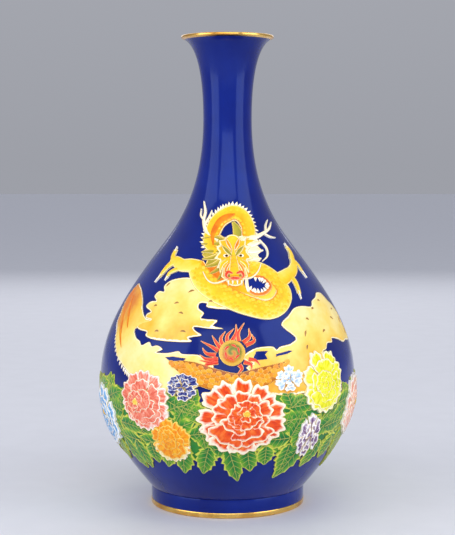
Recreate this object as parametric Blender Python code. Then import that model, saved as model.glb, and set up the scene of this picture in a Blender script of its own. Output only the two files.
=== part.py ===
"""A tall pear-shaped cloisonne vase: a soldered copper body with gilt mouth and foot rings,
an enamel ground fired on its outside, enamel linings inside, and a dragon, clouds and a garland
of peonies set as separate enamelled cells in windows of the blue ground.

Lengths are metres. The vase stands on z = 0 with its axis on Z. Its front faces -Y.
A place on the wall is (azimuth, height): azimuth 0 is the front, and it grows towards +X.
"""

import math

import bmesh
import bpy

MM = 0.001

# Driving dimensions of the outer surface: radius and height at each turn of the outline.
FOOT_RADIUS = 62.6 * MM
FOOT_HEIGHT = 14.5 * MM
BELLY_RADIUS = 104.0 * MM
BELLY_HEIGHT = 101.5 * MM
SHOULDER_RADIUS = 50.0 * MM
SHOULDER_HEIGHT = 215.5 * MM
NECK_RADIUS = 19.7 * MM
NECK_HEIGHT = 314.0 * MM
MOUTH_RADIUS = 34.6 * MM
MOUTH_HEIGHT = 377.0 * MM
HEIGHT = 380.0 * MM

# The outline's slope at the three places where it isn't upright, from the horizontal.
FOOT_SLOPE = math.radians(50.0)
SHOULDER_SLOPE = math.radians(52.5)
MOUTH_SLOPE = math.radians(30.0)

# How far each curve of the outline keeps the direction of its end.
PULLS = {
    "foot": 33.0 * MM,
    "below_belly": 36.0 * MM,
    "above_belly": 38.0 * MM,
    "below_shoulder": 60.0 * MM,
    "above_shoulder": 32.0 * MM,
    "below_neck": 43.0 * MM,
    "above_neck": 25.0 * MM,
    "mouth": 14.0 * MM,
}

# Layers of the wall, measured inwards from the outer surface.
GAP = 0.3 * MM
ENAMEL_THICKNESS = 0.7 * MM
COPPER_THICKNESS = 1.2 * MM
LINING_THICKNESS = 0.5 * MM
COPPER_DEPTH = ENAMEL_THICKNESS + GAP
LINING_DEPTH = COPPER_DEPTH + COPPER_THICKNESS + GAP
WALL_THICKNESS = LINING_DEPTH + LINING_THICKNESS

# Turned pieces share these facets, so that nested layers keep their gaps.
SEGMENTS = 32
RING_HEIGHTS = [
    h * MM
    for h in (30, 56, 79, 100, 122, 144, 166, 188, 210, 230, 250, 278, 314, 345, 364)
]

# The scalloped outlines of flowers and clouds.
POINTS_PER_LOBE = 3
LOBE_DEPTH = 0.10
FEWEST_LOBES = 5

# Steps between two points of a ribbon's path.
RIBBON_STEPS = 2

# Where one piece of the wall ends and the next begins.
BELLY_SHELL_TOP = 144.0 * MM
NECK_SEAM = 250.0 * MM
GARLAND_TOP = 110.0 * MM
GARLAND_BOTTOM = 43.0 * MM
LEAF_TIP_LENGTH = 7.0 * MM
MOTIF_BOTTOM = 31.0 * MM
MOTIF_TOP = NECK_SEAM - GAP

# A window's cutting block runs between these shares of the wall's radius.
BLOCK_START = 0.6
BLOCK_END = 1.4

# Halvings that find a height on the outline to far under a micrometre.
HALVINGS = 40

# The foot ring and the plate that closes the body above it.
FOOT_RIM_HEIGHT = 4.3 * MM
FOOT_RIM_EDGE = 0.7 * MM
FOOT_RIM_PROUD = 0.2 * MM
COLLAR_THICKNESS = 3.2 * MM
COLLAR_TOP = 14.0 * MM
PLATE_THICKNESS = 1.5 * MM
PLATE_INSET = 2.9 * MM

# The gilt bead on the lip. Its flat top starts inside the lip, and its nose is three chamfers.
RIM_OVERHANG = 37.4 * MM
RIM_NOSE_HEIGHT = 378.6 * MM
RIM_TOP_SETBACK = 0.4 * MM
RIM_INNER_DROP = 0.05 * MM
RIM_TOP_START = 0.6 * MM
RIM_CHAMFERS = ((0.8 * MM, 0.1 * MM), (0.15 * MM, 0.65 * MM))
RIM_UNDERCUT = (1.0 * MM, 0.95 * MM)

COLOURS = {
    "gilt": ((0.88, 0.62, 0.22), 0.22, 1.0),
    "copper": ((0.72, 0.40, 0.25), 0.38, 1.0),
    "blue_enamel": ((0.012, 0.035, 0.33), 0.10, 0.0),
    "lining_enamel": ((0.06, 0.17, 0.45), 0.25, 0.0),
    "dragon_gold": ((0.90, 0.62, 0.10), 0.16, 0.0),
    "cloud_cream": ((0.93, 0.78, 0.34), 0.16, 0.0),
    "pearl_olive": ((0.50, 0.42, 0.08), 0.14, 0.0),
    "flame_red": ((0.78, 0.10, 0.05), 0.16, 0.0),
    "leaf_green": ((0.08, 0.30, 0.06), 0.16, 0.0),
    "petal_red": ((0.80, 0.15, 0.03), 0.16, 0.0),
    "petal_pink": ((0.80, 0.30, 0.24), 0.16, 0.0),
    "petal_orange": ((0.90, 0.50, 0.04), 0.16, 0.0),
    "petal_yellow": ((0.88, 0.80, 0.08), 0.16, 0.0),
    "petal_violet": ((0.35, 0.25, 0.45), 0.16, 0.0),
    "petal_blue": ((0.15, 0.45, 0.75), 0.16, 0.0),
    "petal_indigo": ((0.05, 0.08, 0.35), 0.16, 0.0),
    "petal_pale_blue": ((0.55, 0.70, 0.88), 0.16, 0.0),
}


# ---------------------------------------------------------------- scene and materials


def clear_scene():
    for obj in list(bpy.data.objects):
        bpy.data.objects.remove(obj, do_unlink=True)


def material(name):
    """The Principled material of that name, made the first time it is asked for."""
    found = bpy.data.materials.get(name)
    if found:
        return found
    colour, roughness, metallic = COLOURS[name]
    made = bpy.data.materials.new(name)
    made.use_nodes = True
    shader = made.node_tree.nodes["Principled BSDF"]
    shader.inputs["Base Color"].default_value = (*colour, 1.0)
    shader.inputs["Roughness"].default_value = roughness
    shader.inputs["Metallic"].default_value = metallic
    made.diffuse_color = (*colour, 1.0)
    return made


def add_object(name, mesh, colour):
    obj = bpy.data.objects.new(name, mesh)
    bpy.context.collection.objects.link(obj)
    if colour:
        mesh.materials.append(material(colour))
    mesh.shade_smooth()
    return obj


# ---------------------------------------------------------------- the outline


def pulled(point, slope, distance):
    """The point a distance away, up the slope if the distance is positive."""
    return point[0] + distance * math.cos(slope), point[1] + distance * math.sin(slope)


def outline_curves():
    """Four cubic curves, from the foot to the mouth, as (radius, height) control points."""
    upright = math.pi / 2
    foot = (FOOT_RADIUS, FOOT_HEIGHT)
    belly = (BELLY_RADIUS, BELLY_HEIGHT)
    shoulder = (SHOULDER_RADIUS, SHOULDER_HEIGHT)
    neck = (NECK_RADIUS, NECK_HEIGHT)
    mouth = (MOUTH_RADIUS, MOUTH_HEIGHT)
    inwards = math.pi - SHOULDER_SLOPE
    return [
        (
            foot,
            pulled(foot, FOOT_SLOPE, PULLS["foot"]),
            pulled(belly, upright, -PULLS["below_belly"]),
            belly,
        ),
        (
            belly,
            pulled(belly, upright, PULLS["above_belly"]),
            pulled(shoulder, inwards, -PULLS["below_shoulder"]),
            shoulder,
        ),
        (
            shoulder,
            pulled(shoulder, inwards, PULLS["above_shoulder"]),
            pulled(neck, upright, -PULLS["below_neck"]),
            neck,
        ),
        (
            neck,
            pulled(neck, upright, PULLS["above_neck"]),
            pulled(mouth, MOUTH_SLOPE, -PULLS["mouth"]),
            mouth,
        ),
    ]


CURVES = outline_curves()


def on_curve(curve, t):
    a, b, c, d = curve
    weights = ((1 - t) ** 3, 3 * (1 - t) ** 2 * t, 3 * (1 - t) * t * t, t**3)
    points = (a, b, c, d)
    return tuple(sum(weight * point[k] for weight, point in zip(weights, points)) for k in (0, 1))


def along_curve(curve, t):
    """The curve's direction at t, as a unit vector."""
    a, b, c, d = curve
    weights = ((1 - t) ** 2, 2 * (1 - t) * t, t * t)
    legs = ((a, b), (b, c), (c, d))
    run, rise = (sum(w * (end[k] - start[k]) for w, (start, end) in zip(weights, legs)) for k in (0, 1))
    length = math.hypot(run, rise)
    return run / length, rise / length


def wall_point(height, depth):
    """(radius, height) of the point at this depth under the outer surface, square to it."""
    curve = next((c for c in CURVES if height <= c[3][1]), CURVES[-1])
    low, high = 0.0, 1.0
    for _ in range(HALVINGS):
        middle = (low + high) / 2
        if on_curve(curve, middle)[1] < height:
            low = middle
        else:
            high = middle
    radius, level = on_curve(curve, low)
    run, rise = along_curve(curve, low)
    return radius - depth * rise, level + depth * run


def wall_radius(height):
    return wall_point(height, 0.0)[0]


# ---------------------------------------------------------------- turned pieces


def turned(name, section, colour, solid_disc=False):
    """A section of (radius, height) points, down its outer side, turned about the axis.

    A ring's section is a closed loop. A disc's section starts and ends on the axis.
    """
    mesh = bpy.data.meshes.new(name)
    count = len(section)
    edges = [(i, i + 1) for i in range(count - 1)]
    if not solid_disc:
        edges.append((count - 1, 0))
    mesh.from_pydata([(radius, 0.0, height) for radius, height in section], edges, [])
    obj = add_object(name, mesh, colour)
    screw = obj.modifiers.new("turn", "SCREW")
    screw.axis = "Z"
    screw.angle = math.tau
    screw.steps = SEGMENTS
    screw.render_steps = SEGMENTS
    screw.use_merge_vertices = True
    screw.merge_threshold = 0.01 * MM
    screw.use_smooth_shade = True
    return obj


def rings_between(low, high):
    """The shared ring heights inside a layer, with the layer's own two ends."""
    return [low] + [h for h in RING_HEIGHTS if low + 1 * MM < h < high - 1 * MM] + [high]


def layer(name, low, high, depth, thickness, colour):
    heights = rings_between(low, high)
    outer = [wall_point(height, depth) for height in reversed(heights)]
    inner = [wall_point(height, depth + thickness) for height in heights]
    return turned(name, outer + inner, colour)


def disc(name, radius, bottom, top, colour):
    section = [(0.0, top), (radius, top), (radius, bottom), (0.0, bottom)]
    return turned(name, section, colour, solid_disc=True)


# ---------------------------------------------------------------- enamel with a leafy edge


def leaf_tips(height, way):
    """An edge of leaf tips round the vase: every second facet reaches one tip length further."""
    return [height + way * LEAF_TIP_LENGTH * (column % 2) for column in range(SEGMENTS)]


def level_edge(height):
    return [height] * SEGMENTS


def banded(name, lower, upper, colour):
    """A ring of ground enamel whose two edges are a height for each facet corner."""
    inside = [h for h in RING_HEIGHTS if max(lower) + 1 * MM < h < min(upper) - 1 * MM]
    mesh = bmesh.new()
    columns = []
    for column in range(SEGMENTS):
        turn = math.tau * column / SEGMENTS
        heights = [lower[column]] + inside + [upper[column]]
        section = [wall_point(h, 0.0) for h in reversed(heights)]
        section += [wall_point(h, ENAMEL_THICKNESS) for h in heights]
        columns.append([mesh.verts.new((r * math.cos(turn), r * math.sin(turn), h)) for r, h in section])
    for column in range(SEGMENTS):
        here, there = columns[column], columns[(column + 1) % SEGMENTS]
        for i in range(len(here)):
            j = (i + 1) % len(here)
            mesh.faces.new((here[i], here[j], there[j], there[i]))
    bmesh.ops.triangulate(mesh, faces=mesh.faces)
    bmesh.ops.recalc_face_normals(mesh, faces=mesh.faces)
    data = bpy.data.meshes.new(name)
    mesh.to_mesh(data)
    mesh.free()
    return add_object(name, data, colour)


# ---------------------------------------------------------------- outlines of the motifs


def blossom(azimuth, height, width, tall, lobes):
    """An oval outline centred on the wall, scalloped unless it has no lobes. Width runs round the wall."""
    centre = math.radians(azimuth)
    points = []
    steps = max(lobes, FEWEST_LOBES) * POINTS_PER_LOBE
    for step in range(steps):
        angle = math.tau * step / steps
        reach = 1.0 - LOBE_DEPTH * (1.0 - abs(math.sin(lobes * angle / 2))) if lobes else 1.0
        level = (height + reach * tall / 2 * math.sin(angle)) * MM
        round_wall = reach * width / 2 * math.cos(angle) * MM
        points.append((centre + round_wall / wall_radius(level), level))
    return points


def smooth_path(points, steps):
    """Points on a Catmull-Rom curve through the given points."""
    ends = [points[0]] + list(points) + [points[-1]]
    path = []
    for i in range(1, len(ends) - 2):
        for step in range(steps):
            t = step / steps
            weights = (
                (-t + 2 * t * t - t**3) / 2,
                (2 - 5 * t * t + 3 * t**3) / 2,
                (t + 4 * t * t - 3 * t**3) / 2,
                (t**3 - t * t) / 2,
            )
            near = ends[i - 1 : i + 3]
            path.append(tuple(sum(w * p[k] for w, p in zip(weights, near)) for k in range(3)))
    path.append(tuple(points[-1]))
    return path


def ribbon(points):
    """A band along a path of (azimuth in degrees, height in mm, width in mm)."""
    path = [(math.radians(a), h * MM, w * MM) for a, h, w in smooth_path(points, RIBBON_STEPS)]
    left, right = [], []
    for i, (azimuth, height, width) in enumerate(path):
        before, after = path[max(i - 1, 0)], path[min(i + 1, len(path) - 1)]
        radius = wall_radius(height)
        run = (after[0] - before[0]) * radius
        rise = after[1] - before[1]
        length = math.hypot(run, rise)
        across = (-rise / length * width / 2 / radius, run / length * width / 2)
        left.append((azimuth + across[0], height + across[1]))
        right.append((azimuth - across[0], height - across[1]))
    return left + right[::-1]


def grown(outline, distance):
    """The outline moved outwards by a distance, measured on the wall."""
    area = sum(a[0] * b[1] - b[0] * a[1] for a, b in zip(outline, outline[1:] + outline[:1]))
    way = 1.0 if area > 0 else -1.0
    moved = []
    for i, (azimuth, height) in enumerate(outline):
        radius = wall_radius(height)
        before, after = outline[i - 1], outline[(i + 1) % len(outline)]
        directions = []
        for start, end in ((before, (azimuth, height)), ((azimuth, height), after)):
            run = (end[0] - start[0]) * radius
            rise = end[1] - start[1]
            length = max(math.hypot(run, rise), 1e-9)
            directions.append((rise / length * way, -run / length * way))
        out = (directions[0][0] + directions[1][0], directions[0][1] + directions[1][1])
        size = max(math.hypot(*out), 0.8)
        reach = 2 * distance / size**2
        moved.append((azimuth + out[0] * reach / radius, height + out[1] * reach))
    return moved


def wedge(name, outline):
    """A closed block that holds the outline all the way through the wall, with radial sides."""
    mesh = bmesh.new()
    rings = []
    for factor in (BLOCK_START, BLOCK_END):
        ring = []
        for azimuth, height in outline:
            radius = factor * wall_radius(height)
            ring.append(mesh.verts.new((radius * math.sin(azimuth), -radius * math.cos(azimuth), height)))
        rings.append(ring)
    inner, outer = rings
    count = len(outline)
    for i in range(count):
        j = (i + 1) % count
        mesh.faces.new((inner[i], inner[j], outer[j], outer[i]))
    mesh.faces.new(inner)
    mesh.faces.new(outer)
    bmesh.ops.triangulate(mesh, faces=mesh.faces)
    bmesh.ops.recalc_face_normals(mesh, faces=mesh.faces)
    data = bpy.data.meshes.new(name)
    mesh.to_mesh(data)
    mesh.free()
    block = add_object(name, data, None)
    block.hide_render = True
    block.display_type = "WIRE"
    return block


# ---------------------------------------------------------------- setting motifs in the ground


def bounds_of(outline):
    azimuths = [a for a, _ in outline]
    heights = [h for _, h in outline]
    return min(azimuths), max(azimuths), min(heights), max(heights)


def meets(first, second):
    """Whether the boxes of two outlines overlap on the wall."""
    a, b = bounds_of(first), bounds_of(second)
    turn = round(((a[0] + a[1]) - (b[0] + b[1])) / 2 / math.tau) * math.tau
    return a[0] < b[1] + turn and b[0] + turn < a[1] and a[2] < b[3] and b[2] < a[3]


def cut(obj, block, operation):
    boolean = obj.modifiers.new(block.name, "BOOLEAN")
    boolean.operation = operation
    boolean.solver = "EXACT"
    boolean.object = block


def set_motif(name, outline, colour, in_front):
    """One motif: the ground enamel's own curve, inside the outline, less what lies in front."""
    tile = layer(name, MOTIF_BOTTOM, MOTIF_TOP, 0.0, ENAMEL_THICKNESS, colour)
    cut(tile, wedge(name + "_cutter", outline), "INTERSECT")
    for other, window in in_front:
        if meets(outline, other):
            cut(tile, window, "DIFFERENCE")
    return tile


# Each motif from the front backwards: name, colour and outline.
# A blossom is (azimuth, height, width, tall, lobes). A ribbon's points are (azimuth, height, width).
def motifs():
    return [
        ("peony_red", "petal_red", blossom(6, 87, 66, 56, 9)),
        ("peony_orange", "petal_orange", blossom(-26, 68, 31, 38, 7)),
        ("peony_pink", "petal_pink", blossom(-40, 97, 44, 43, 8)),
        ("peony_yellow", "petal_yellow", blossom(48, 108, 43, 42, 8)),
        ("flower_violet", "petal_violet", blossom(39, 69, 19, 34, 6)),
        ("flower_indigo", "petal_indigo", blossom(-19, 110, 21, 17, 6)),
        ("flower_pale_blue", "petal_pale_blue", blossom(26.5, 115, 20, 16, 6)),
        ("peony_blue", "petal_blue", blossom(-71, 78, 42, 46, 8)),
        ("peony_salmon", "petal_pink", blossom(75, 84, 40, 48, 8)),
        ("peony_back_white", "petal_pale_blue", blossom(180, 86, 64, 54, 7)),
        ("peony_back_red", "petal_red", blossom(-122, 84, 52, 48, 7)),
        ("peony_back_yellow", "petal_yellow", blossom(124, 84, 52, 48, 7)),
        ("flaming_pearl", "pearl_olive", blossom(2, 136.5, 20, 19, 0)),
        ("pearl_flame_left", "flame_red", ribbon([(-1, 137, 8), (-7, 138, 7), (-12, 144, 1.5)])),
        ("pearl_flame_top", "flame_red", ribbon([(2, 142, 12), (4, 149, 9), (7, 157, 1.5)])),
        ("dragon_head", "dragon_gold", ribbon([(7, 219, 17), (6, 206, 27), (4, 190, 9)])),
        (
            "dragon_neck",
            "dragon_gold",
            ribbon(
                [
                    (-6, 214, 9),
                    (-11, 227, 10),
                    (-3, 238, 10),
                    (9, 242, 10),
                    (21, 237, 10),
                    (22, 226, 10),
                    (17, 215, 9),
                ]
            ),
        ),
        (
            "dragon_body",
            "dragon_gold",
            ribbon(
                [
                    (-18, 197, 13),
                    (-9, 182, 18),
                    (5, 171, 16),
                    (20, 168, 14),
                    (33, 175, 14),
                    (35, 188, 12),
                    (25, 197, 10),
                    (14, 198, 8),
                ]
            ),
        ),
        ("neck_loop_ground", "blue_enamel", blossom(6, 228, 20, 25, 0)),
        ("coil_ground", "blue_enamel", blossom(21, 184, 34, 28, 0)),
        (
            "dragon_left_arm",
            "dragon_gold",
            ribbon([(-22, 200, 8), (-33, 197, 9), (-42, 200, 8), (-47, 209, 2.5)]),
        ),
        (
            "dragon_right_arm",
            "dragon_gold",
            ribbon([(40, 193, 7), (49, 196, 8), (58, 200, 7), (61, 209, 2.5)]),
        ),
        (
            "dragon_tail",
            "dragon_gold",
            ribbon(
                [(-23, 127, 6), (-13, 119, 11), (0, 114, 12), (9, 115, 12), (18, 124, 10), (27, 133, 4)]
            ),
        ),
        (
            "dragon_hind_body",
            "dragon_gold",
            ribbon([(-72, 182, 3), (-68, 164, 15), (-60, 146, 18), (-50, 132, 18), (-40, 124, 10)]),
        ),
        ("cloud_left", "cloud_cream", blossom(-27, 164, 56, 43, 9)),
        ("cloud_right", "cloud_cream", blossom(53, 153, 62, 38, 8)),
    ]


# ---------------------------------------------------------------- the pieces


def metal_body():
    """The copper body in three parts, one gap apart at the two soldered seams."""
    ends = [FOOT_HEIGHT - GAP / 2, BELLY_SHELL_TOP, NECK_SEAM, MOUTH_HEIGHT + GAP / 2]
    for name, low, high in zip(("belly_shell", "shoulder_shell", "neck_shell"), ends, ends[1:]):
        layer(name, low + GAP / 2, high - GAP / 2, COPPER_DEPTH, COPPER_THICKNESS, "copper")


def linings():
    """The enamel inside the copper body, which covers the seam of the two lower shells."""
    layer("body_lining", FOOT_HEIGHT, NECK_SEAM - GAP / 2, LINING_DEPTH, LINING_THICKNESS, "lining_enamel")
    layer("neck_lining", NECK_SEAM + GAP / 2, MOUTH_HEIGHT, LINING_DEPTH, LINING_THICKNESS, "lining_enamel")


def mouth_rim():
    """The gilt bead that closes the lip. It starts one gap beyond the wall's square-cut end."""
    low_radius, low_height = pulled((MOUTH_RADIUS, MOUTH_HEIGHT), MOUTH_SLOPE, GAP)
    rise, run = math.sin(MOUTH_SLOPE), math.cos(MOUTH_SLOPE)
    (top_back, top_drop), (nose_back, nose_drop) = RIM_CHAMFERS
    under_back, under_drop = RIM_UNDERCUT
    section = [
        (low_radius - (WALL_THICKNESS - RIM_TOP_SETBACK) * rise, HEIGHT - RIM_INNER_DROP),
        (low_radius + RIM_TOP_START, HEIGHT),
        (RIM_OVERHANG - top_back, HEIGHT - top_drop),
        (RIM_OVERHANG - nose_back, HEIGHT - nose_drop),
        (RIM_OVERHANG, RIM_NOSE_HEIGHT),
        (RIM_OVERHANG - under_back, RIM_NOSE_HEIGHT - under_drop),
        (low_radius, low_height),
        (low_radius - WALL_THICKNESS * rise, low_height + WALL_THICKNESS * run),
    ]
    turned("mouth_rim", section, "gilt")


def foot():
    """The upright foot: a copper collar, its enamel, the gilt ring and the closing plate."""
    collar_radius = FOOT_RADIUS - COPPER_DEPTH
    inner_radius = collar_radius - COLLAR_THICKNESS
    ring_radius = FOOT_RADIUS + FOOT_RIM_PROUD
    above_ring = FOOT_RIM_HEIGHT + GAP
    edge = FOOT_RIM_EDGE
    corner = edge / 4
    ring_section = [
        (ring_radius - edge, FOOT_RIM_HEIGHT),
        (ring_radius - corner, FOOT_RIM_HEIGHT - corner),
        (ring_radius, FOOT_RIM_HEIGHT - edge),
        (ring_radius, edge),
        (ring_radius - corner, corner),
        (ring_radius - edge, 0.0),
        (inner_radius + edge, 0.0),
        (inner_radius, edge),
        (inner_radius, FOOT_RIM_HEIGHT),
    ]
    turned("foot_rim", ring_section, "gilt")
    collar = [
        (collar_radius, COLLAR_TOP),
        (collar_radius, above_ring),
        (inner_radius, above_ring),
        (inner_radius, COLLAR_TOP),
    ]
    turned("foot_collar", collar, "copper")
    skin = [
        (FOOT_RADIUS, COLLAR_TOP),
        (FOOT_RADIUS, above_ring),
        (FOOT_RADIUS - ENAMEL_THICKNESS, above_ring),
        (FOOT_RADIUS - ENAMEL_THICKNESS, COLLAR_TOP),
    ]
    turned("foot_enamel", skin, "blue_enamel")
    plate_radius = FOOT_RADIUS - PLATE_INSET
    plate_bottom = COLLAR_TOP + GAP
    plate_top = plate_bottom + PLATE_THICKNESS
    disc("base_plate", plate_radius, plate_bottom, plate_top, "copper")
    disc("floor_lining", plate_radius, plate_top + GAP, plate_top + GAP + LINING_THICKNESS, "lining_enamel")
    under_top = plate_bottom - GAP
    disc("base_enamel", inner_radius - GAP, under_top - ENAMEL_THICKNESS, under_top, "lining_enamel")


def enamel_ground():
    """The blue ground round the motifs, and the green garland between two edges of leaf tips."""
    garland_top = leaf_tips(GARLAND_TOP, 1)
    garland_bottom = leaf_tips(GARLAND_BOTTOM, -1)
    layer("neck_enamel", NECK_SEAM + GAP / 2, MOUTH_HEIGHT, 0.0, ENAMEL_THICKNESS, "blue_enamel")
    above = [h + GAP for h in garland_top]
    below = [h - GAP for h in garland_bottom]
    shoulder = banded("shoulder_enamel", above, level_edge(NECK_SEAM - GAP / 2), "blue_enamel")
    garland = banded("leaf_garland", garland_bottom, garland_top, "leaf_green")
    banded("lower_enamel", level_edge(FOOT_HEIGHT), below, "blue_enamel")
    return shoulder, garland


def enamel_motifs(shoulder, garland):
    in_front = []
    for name, colour, outline in motifs():
        set_motif(name, outline, colour, in_front)
        window = wedge(name + "_window", grown(outline, GAP))
        in_front.append((outline, window))
        low, high = bounds_of(outline)[2:]
        if high > GARLAND_TOP:
            cut(shoulder, window, "DIFFERENCE")
        if low < GARLAND_TOP + LEAF_TIP_LENGTH:
            cut(garland, window, "DIFFERENCE")


def main():
    clear_scene()
    metal_body()
    linings()
    mouth_rim()
    foot()
    shoulder, garland = enamel_ground()
    enamel_motifs(shoulder, garland)


main()
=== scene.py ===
"""The looks of a tall cloisonne vase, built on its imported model.

The enamel ground is one smooth turned wall. The dragon, clouds, pearl and peonies are raised
enamel patches laid on that wall, edged with gilt wires. A place on the wall is (azimuth, height):
azimuth 0 faces -Y, the front, and grows towards +X. Lengths are multiples of MM, one millimetre
on a vase as tall as the frame's.
"""

import math
import random

import bmesh
import bpy
import numpy as np
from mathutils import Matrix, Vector
from mathutils.geometry import delaunay_2d_cdt


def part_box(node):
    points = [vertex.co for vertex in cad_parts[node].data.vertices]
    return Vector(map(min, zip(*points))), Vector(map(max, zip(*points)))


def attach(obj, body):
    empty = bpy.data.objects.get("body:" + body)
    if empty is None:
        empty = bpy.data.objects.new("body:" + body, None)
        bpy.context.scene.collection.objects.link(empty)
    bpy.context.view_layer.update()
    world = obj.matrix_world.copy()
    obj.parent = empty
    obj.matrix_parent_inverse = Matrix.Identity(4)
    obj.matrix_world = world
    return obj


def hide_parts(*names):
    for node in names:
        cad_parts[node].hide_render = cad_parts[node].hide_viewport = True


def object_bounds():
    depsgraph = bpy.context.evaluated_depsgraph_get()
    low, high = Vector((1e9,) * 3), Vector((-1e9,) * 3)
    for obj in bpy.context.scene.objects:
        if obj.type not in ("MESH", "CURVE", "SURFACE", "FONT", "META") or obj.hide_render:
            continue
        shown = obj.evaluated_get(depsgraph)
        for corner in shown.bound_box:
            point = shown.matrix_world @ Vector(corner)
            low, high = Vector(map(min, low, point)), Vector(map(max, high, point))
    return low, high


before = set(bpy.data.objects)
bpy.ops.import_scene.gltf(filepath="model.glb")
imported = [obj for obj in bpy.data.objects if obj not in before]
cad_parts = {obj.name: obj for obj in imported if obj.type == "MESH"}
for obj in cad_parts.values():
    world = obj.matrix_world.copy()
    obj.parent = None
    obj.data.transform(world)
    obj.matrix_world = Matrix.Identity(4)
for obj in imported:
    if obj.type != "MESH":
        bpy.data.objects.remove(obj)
CAD_LOW, CAD_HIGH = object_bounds()

DESIGN_HEIGHT = 380.0
HEIGHT = CAD_HIGH.z - CAD_LOW.z
MM = HEIGHT / DESIGN_HEIGHT
LAYER_GAP = 0.3 * MM
GROUND_THICKNESS = 0.7 * MM
COPPER_THICKNESS = 1.2 * MM
LINING_THICKNESS = 0.5 * MM
COPPER_DEPTH = GROUND_THICKNESS + LAYER_GAP
WALL_THICKNESS = COPPER_DEPTH + COPPER_THICKNESS + LAYER_GAP + LINING_THICKNESS
FOOT_RING_WIDTH = 4.4 * MM
# Where the outline's curves meet, and how steeply it climbs at the foot, shoulder and mouth.
BELLY_HEIGHT = 101.5 * MM
SHOULDER_RADIUS, SHOULDER_HEIGHT = 50.0 * MM, 215.5 * MM
NECK_RADIUS, NECK_HEIGHT = 19.7 * MM, 314.0 * MM
MOUTH_HEIGHT = 377.0 * MM
FOOT_SLOPE, SHOULDER_SLOPE, MOUTH_SLOPE = (math.radians(angle) for angle in (50.0, 127.5, 30.0))
# Where the copper neck is soldered to the shoulder.
NECK_BASE = 250.0 * MM
CURVE_STEPS = 81
TURN_STEPS = 192
# How far under the enamel's surface the edge of a raised cell reaches, in mm.
SKIRT_LIFT = -0.2
RANDOM = random.Random(7)


# ---------------------------------------------------------------- the wall's outline


def half_width(node):
    """Half the width of a node's box."""
    low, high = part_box(node)
    return (high.x - low.x) / 2


def pulled(point, slope, distance):
    """A curve's handle: this far from its end, along the slope there."""
    return point[0] + distance * math.cos(slope), point[1] + distance * math.sin(slope)


def outline_curves():
    """Four cubic curves from foot to mouth, through the radii and heights that the frame gives."""
    upright = math.pi / 2
    foot = (half_width("foot_enamel"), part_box("lower_enamel")[0].z)
    belly = (half_width("leaf_garland"), BELLY_HEIGHT)
    shoulder = (SHOULDER_RADIUS, SHOULDER_HEIGHT)
    neck = (NECK_RADIUS, NECK_HEIGHT)
    mouth = (half_width("neck_enamel"), MOUTH_HEIGHT)
    return [
        (foot, pulled(foot, FOOT_SLOPE, 33 * MM), pulled(belly, upright, -36 * MM), belly),
        (belly, pulled(belly, upright, 38 * MM), pulled(shoulder, SHOULDER_SLOPE, -60 * MM), shoulder),
        (shoulder, pulled(shoulder, SHOULDER_SLOPE, 32 * MM), pulled(neck, upright, -43 * MM), neck),
        (neck, pulled(neck, upright, 25 * MM), pulled(mouth, MOUTH_SLOPE, -14 * MM), mouth),
    ]


def sampled(curve):
    """Points along a cubic Bezier curve."""
    t = np.linspace(0.0, 1.0, CURVE_STEPS)[:, None]
    a, b, c, d = (np.array(p) for p in curve)
    return (1 - t) ** 3 * a + 3 * (1 - t) ** 2 * t * b + 3 * (1 - t) * t * t * c + t**3 * d


OUTLINE = np.vstack([sampled(curve)[:-1] for curve in outline_curves()] + [outline_curves()[-1][3]])
WALL_R, WALL_Z = OUTLINE.T
STEP = np.gradient(OUTLINE, axis=0)
STEP /= np.linalg.norm(STEP, axis=1)[:, None]
WALL_OUT, WALL_UP = STEP[:, 1], -STEP[:, 0]
WALL_S = np.concatenate([[0.0], np.cumsum(np.linalg.norm(np.diff(OUTLINE, axis=0), axis=1))])


def wall_radius(height):
    return np.interp(height, WALL_Z, WALL_R)


def on_wall(places, lift):
    """Points this far outside the wall, square to it, for rows of (azimuth, height)."""
    azimuth, height = places[..., 0], places[..., 1]
    radius = wall_radius(height) + lift * np.interp(height, WALL_Z, WALL_OUT)
    level = height + lift * np.interp(height, WALL_Z, WALL_UP)
    return np.stack([radius * np.sin(azimuth), -radius * np.cos(azimuth), level], axis=-1)


def laid(centre, points):
    """Local points in mm, right and up along the wall from a (degrees, mm) centre, as places."""
    points = np.asarray(points, float) * MM
    start = np.interp(centre[1] * MM, WALL_Z, WALL_S)
    height = np.interp(start + points[..., 1], WALL_S, WALL_Z)
    azimuth = math.radians(centre[0]) + points[..., 0] / wall_radius(height)
    return np.stack([azimuth, height], axis=-1)


def places(points):
    """(degrees, mm) points as places on the wall."""
    points = np.asarray(points, float)
    return np.stack([np.radians(points[..., 0]), points[..., 1] * MM], axis=-1)


# ---------------------------------------------------------------- materials


def linear(red, green, blue):
    """A colour given as 0 to 255 display values."""
    values = []
    for value in (red, green, blue):
        value /= 255.0
        values.append(value / 12.92 if value <= 0.04045 else ((value + 0.055) / 1.055) ** 2.4)
    return (*values, 1.0)


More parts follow.
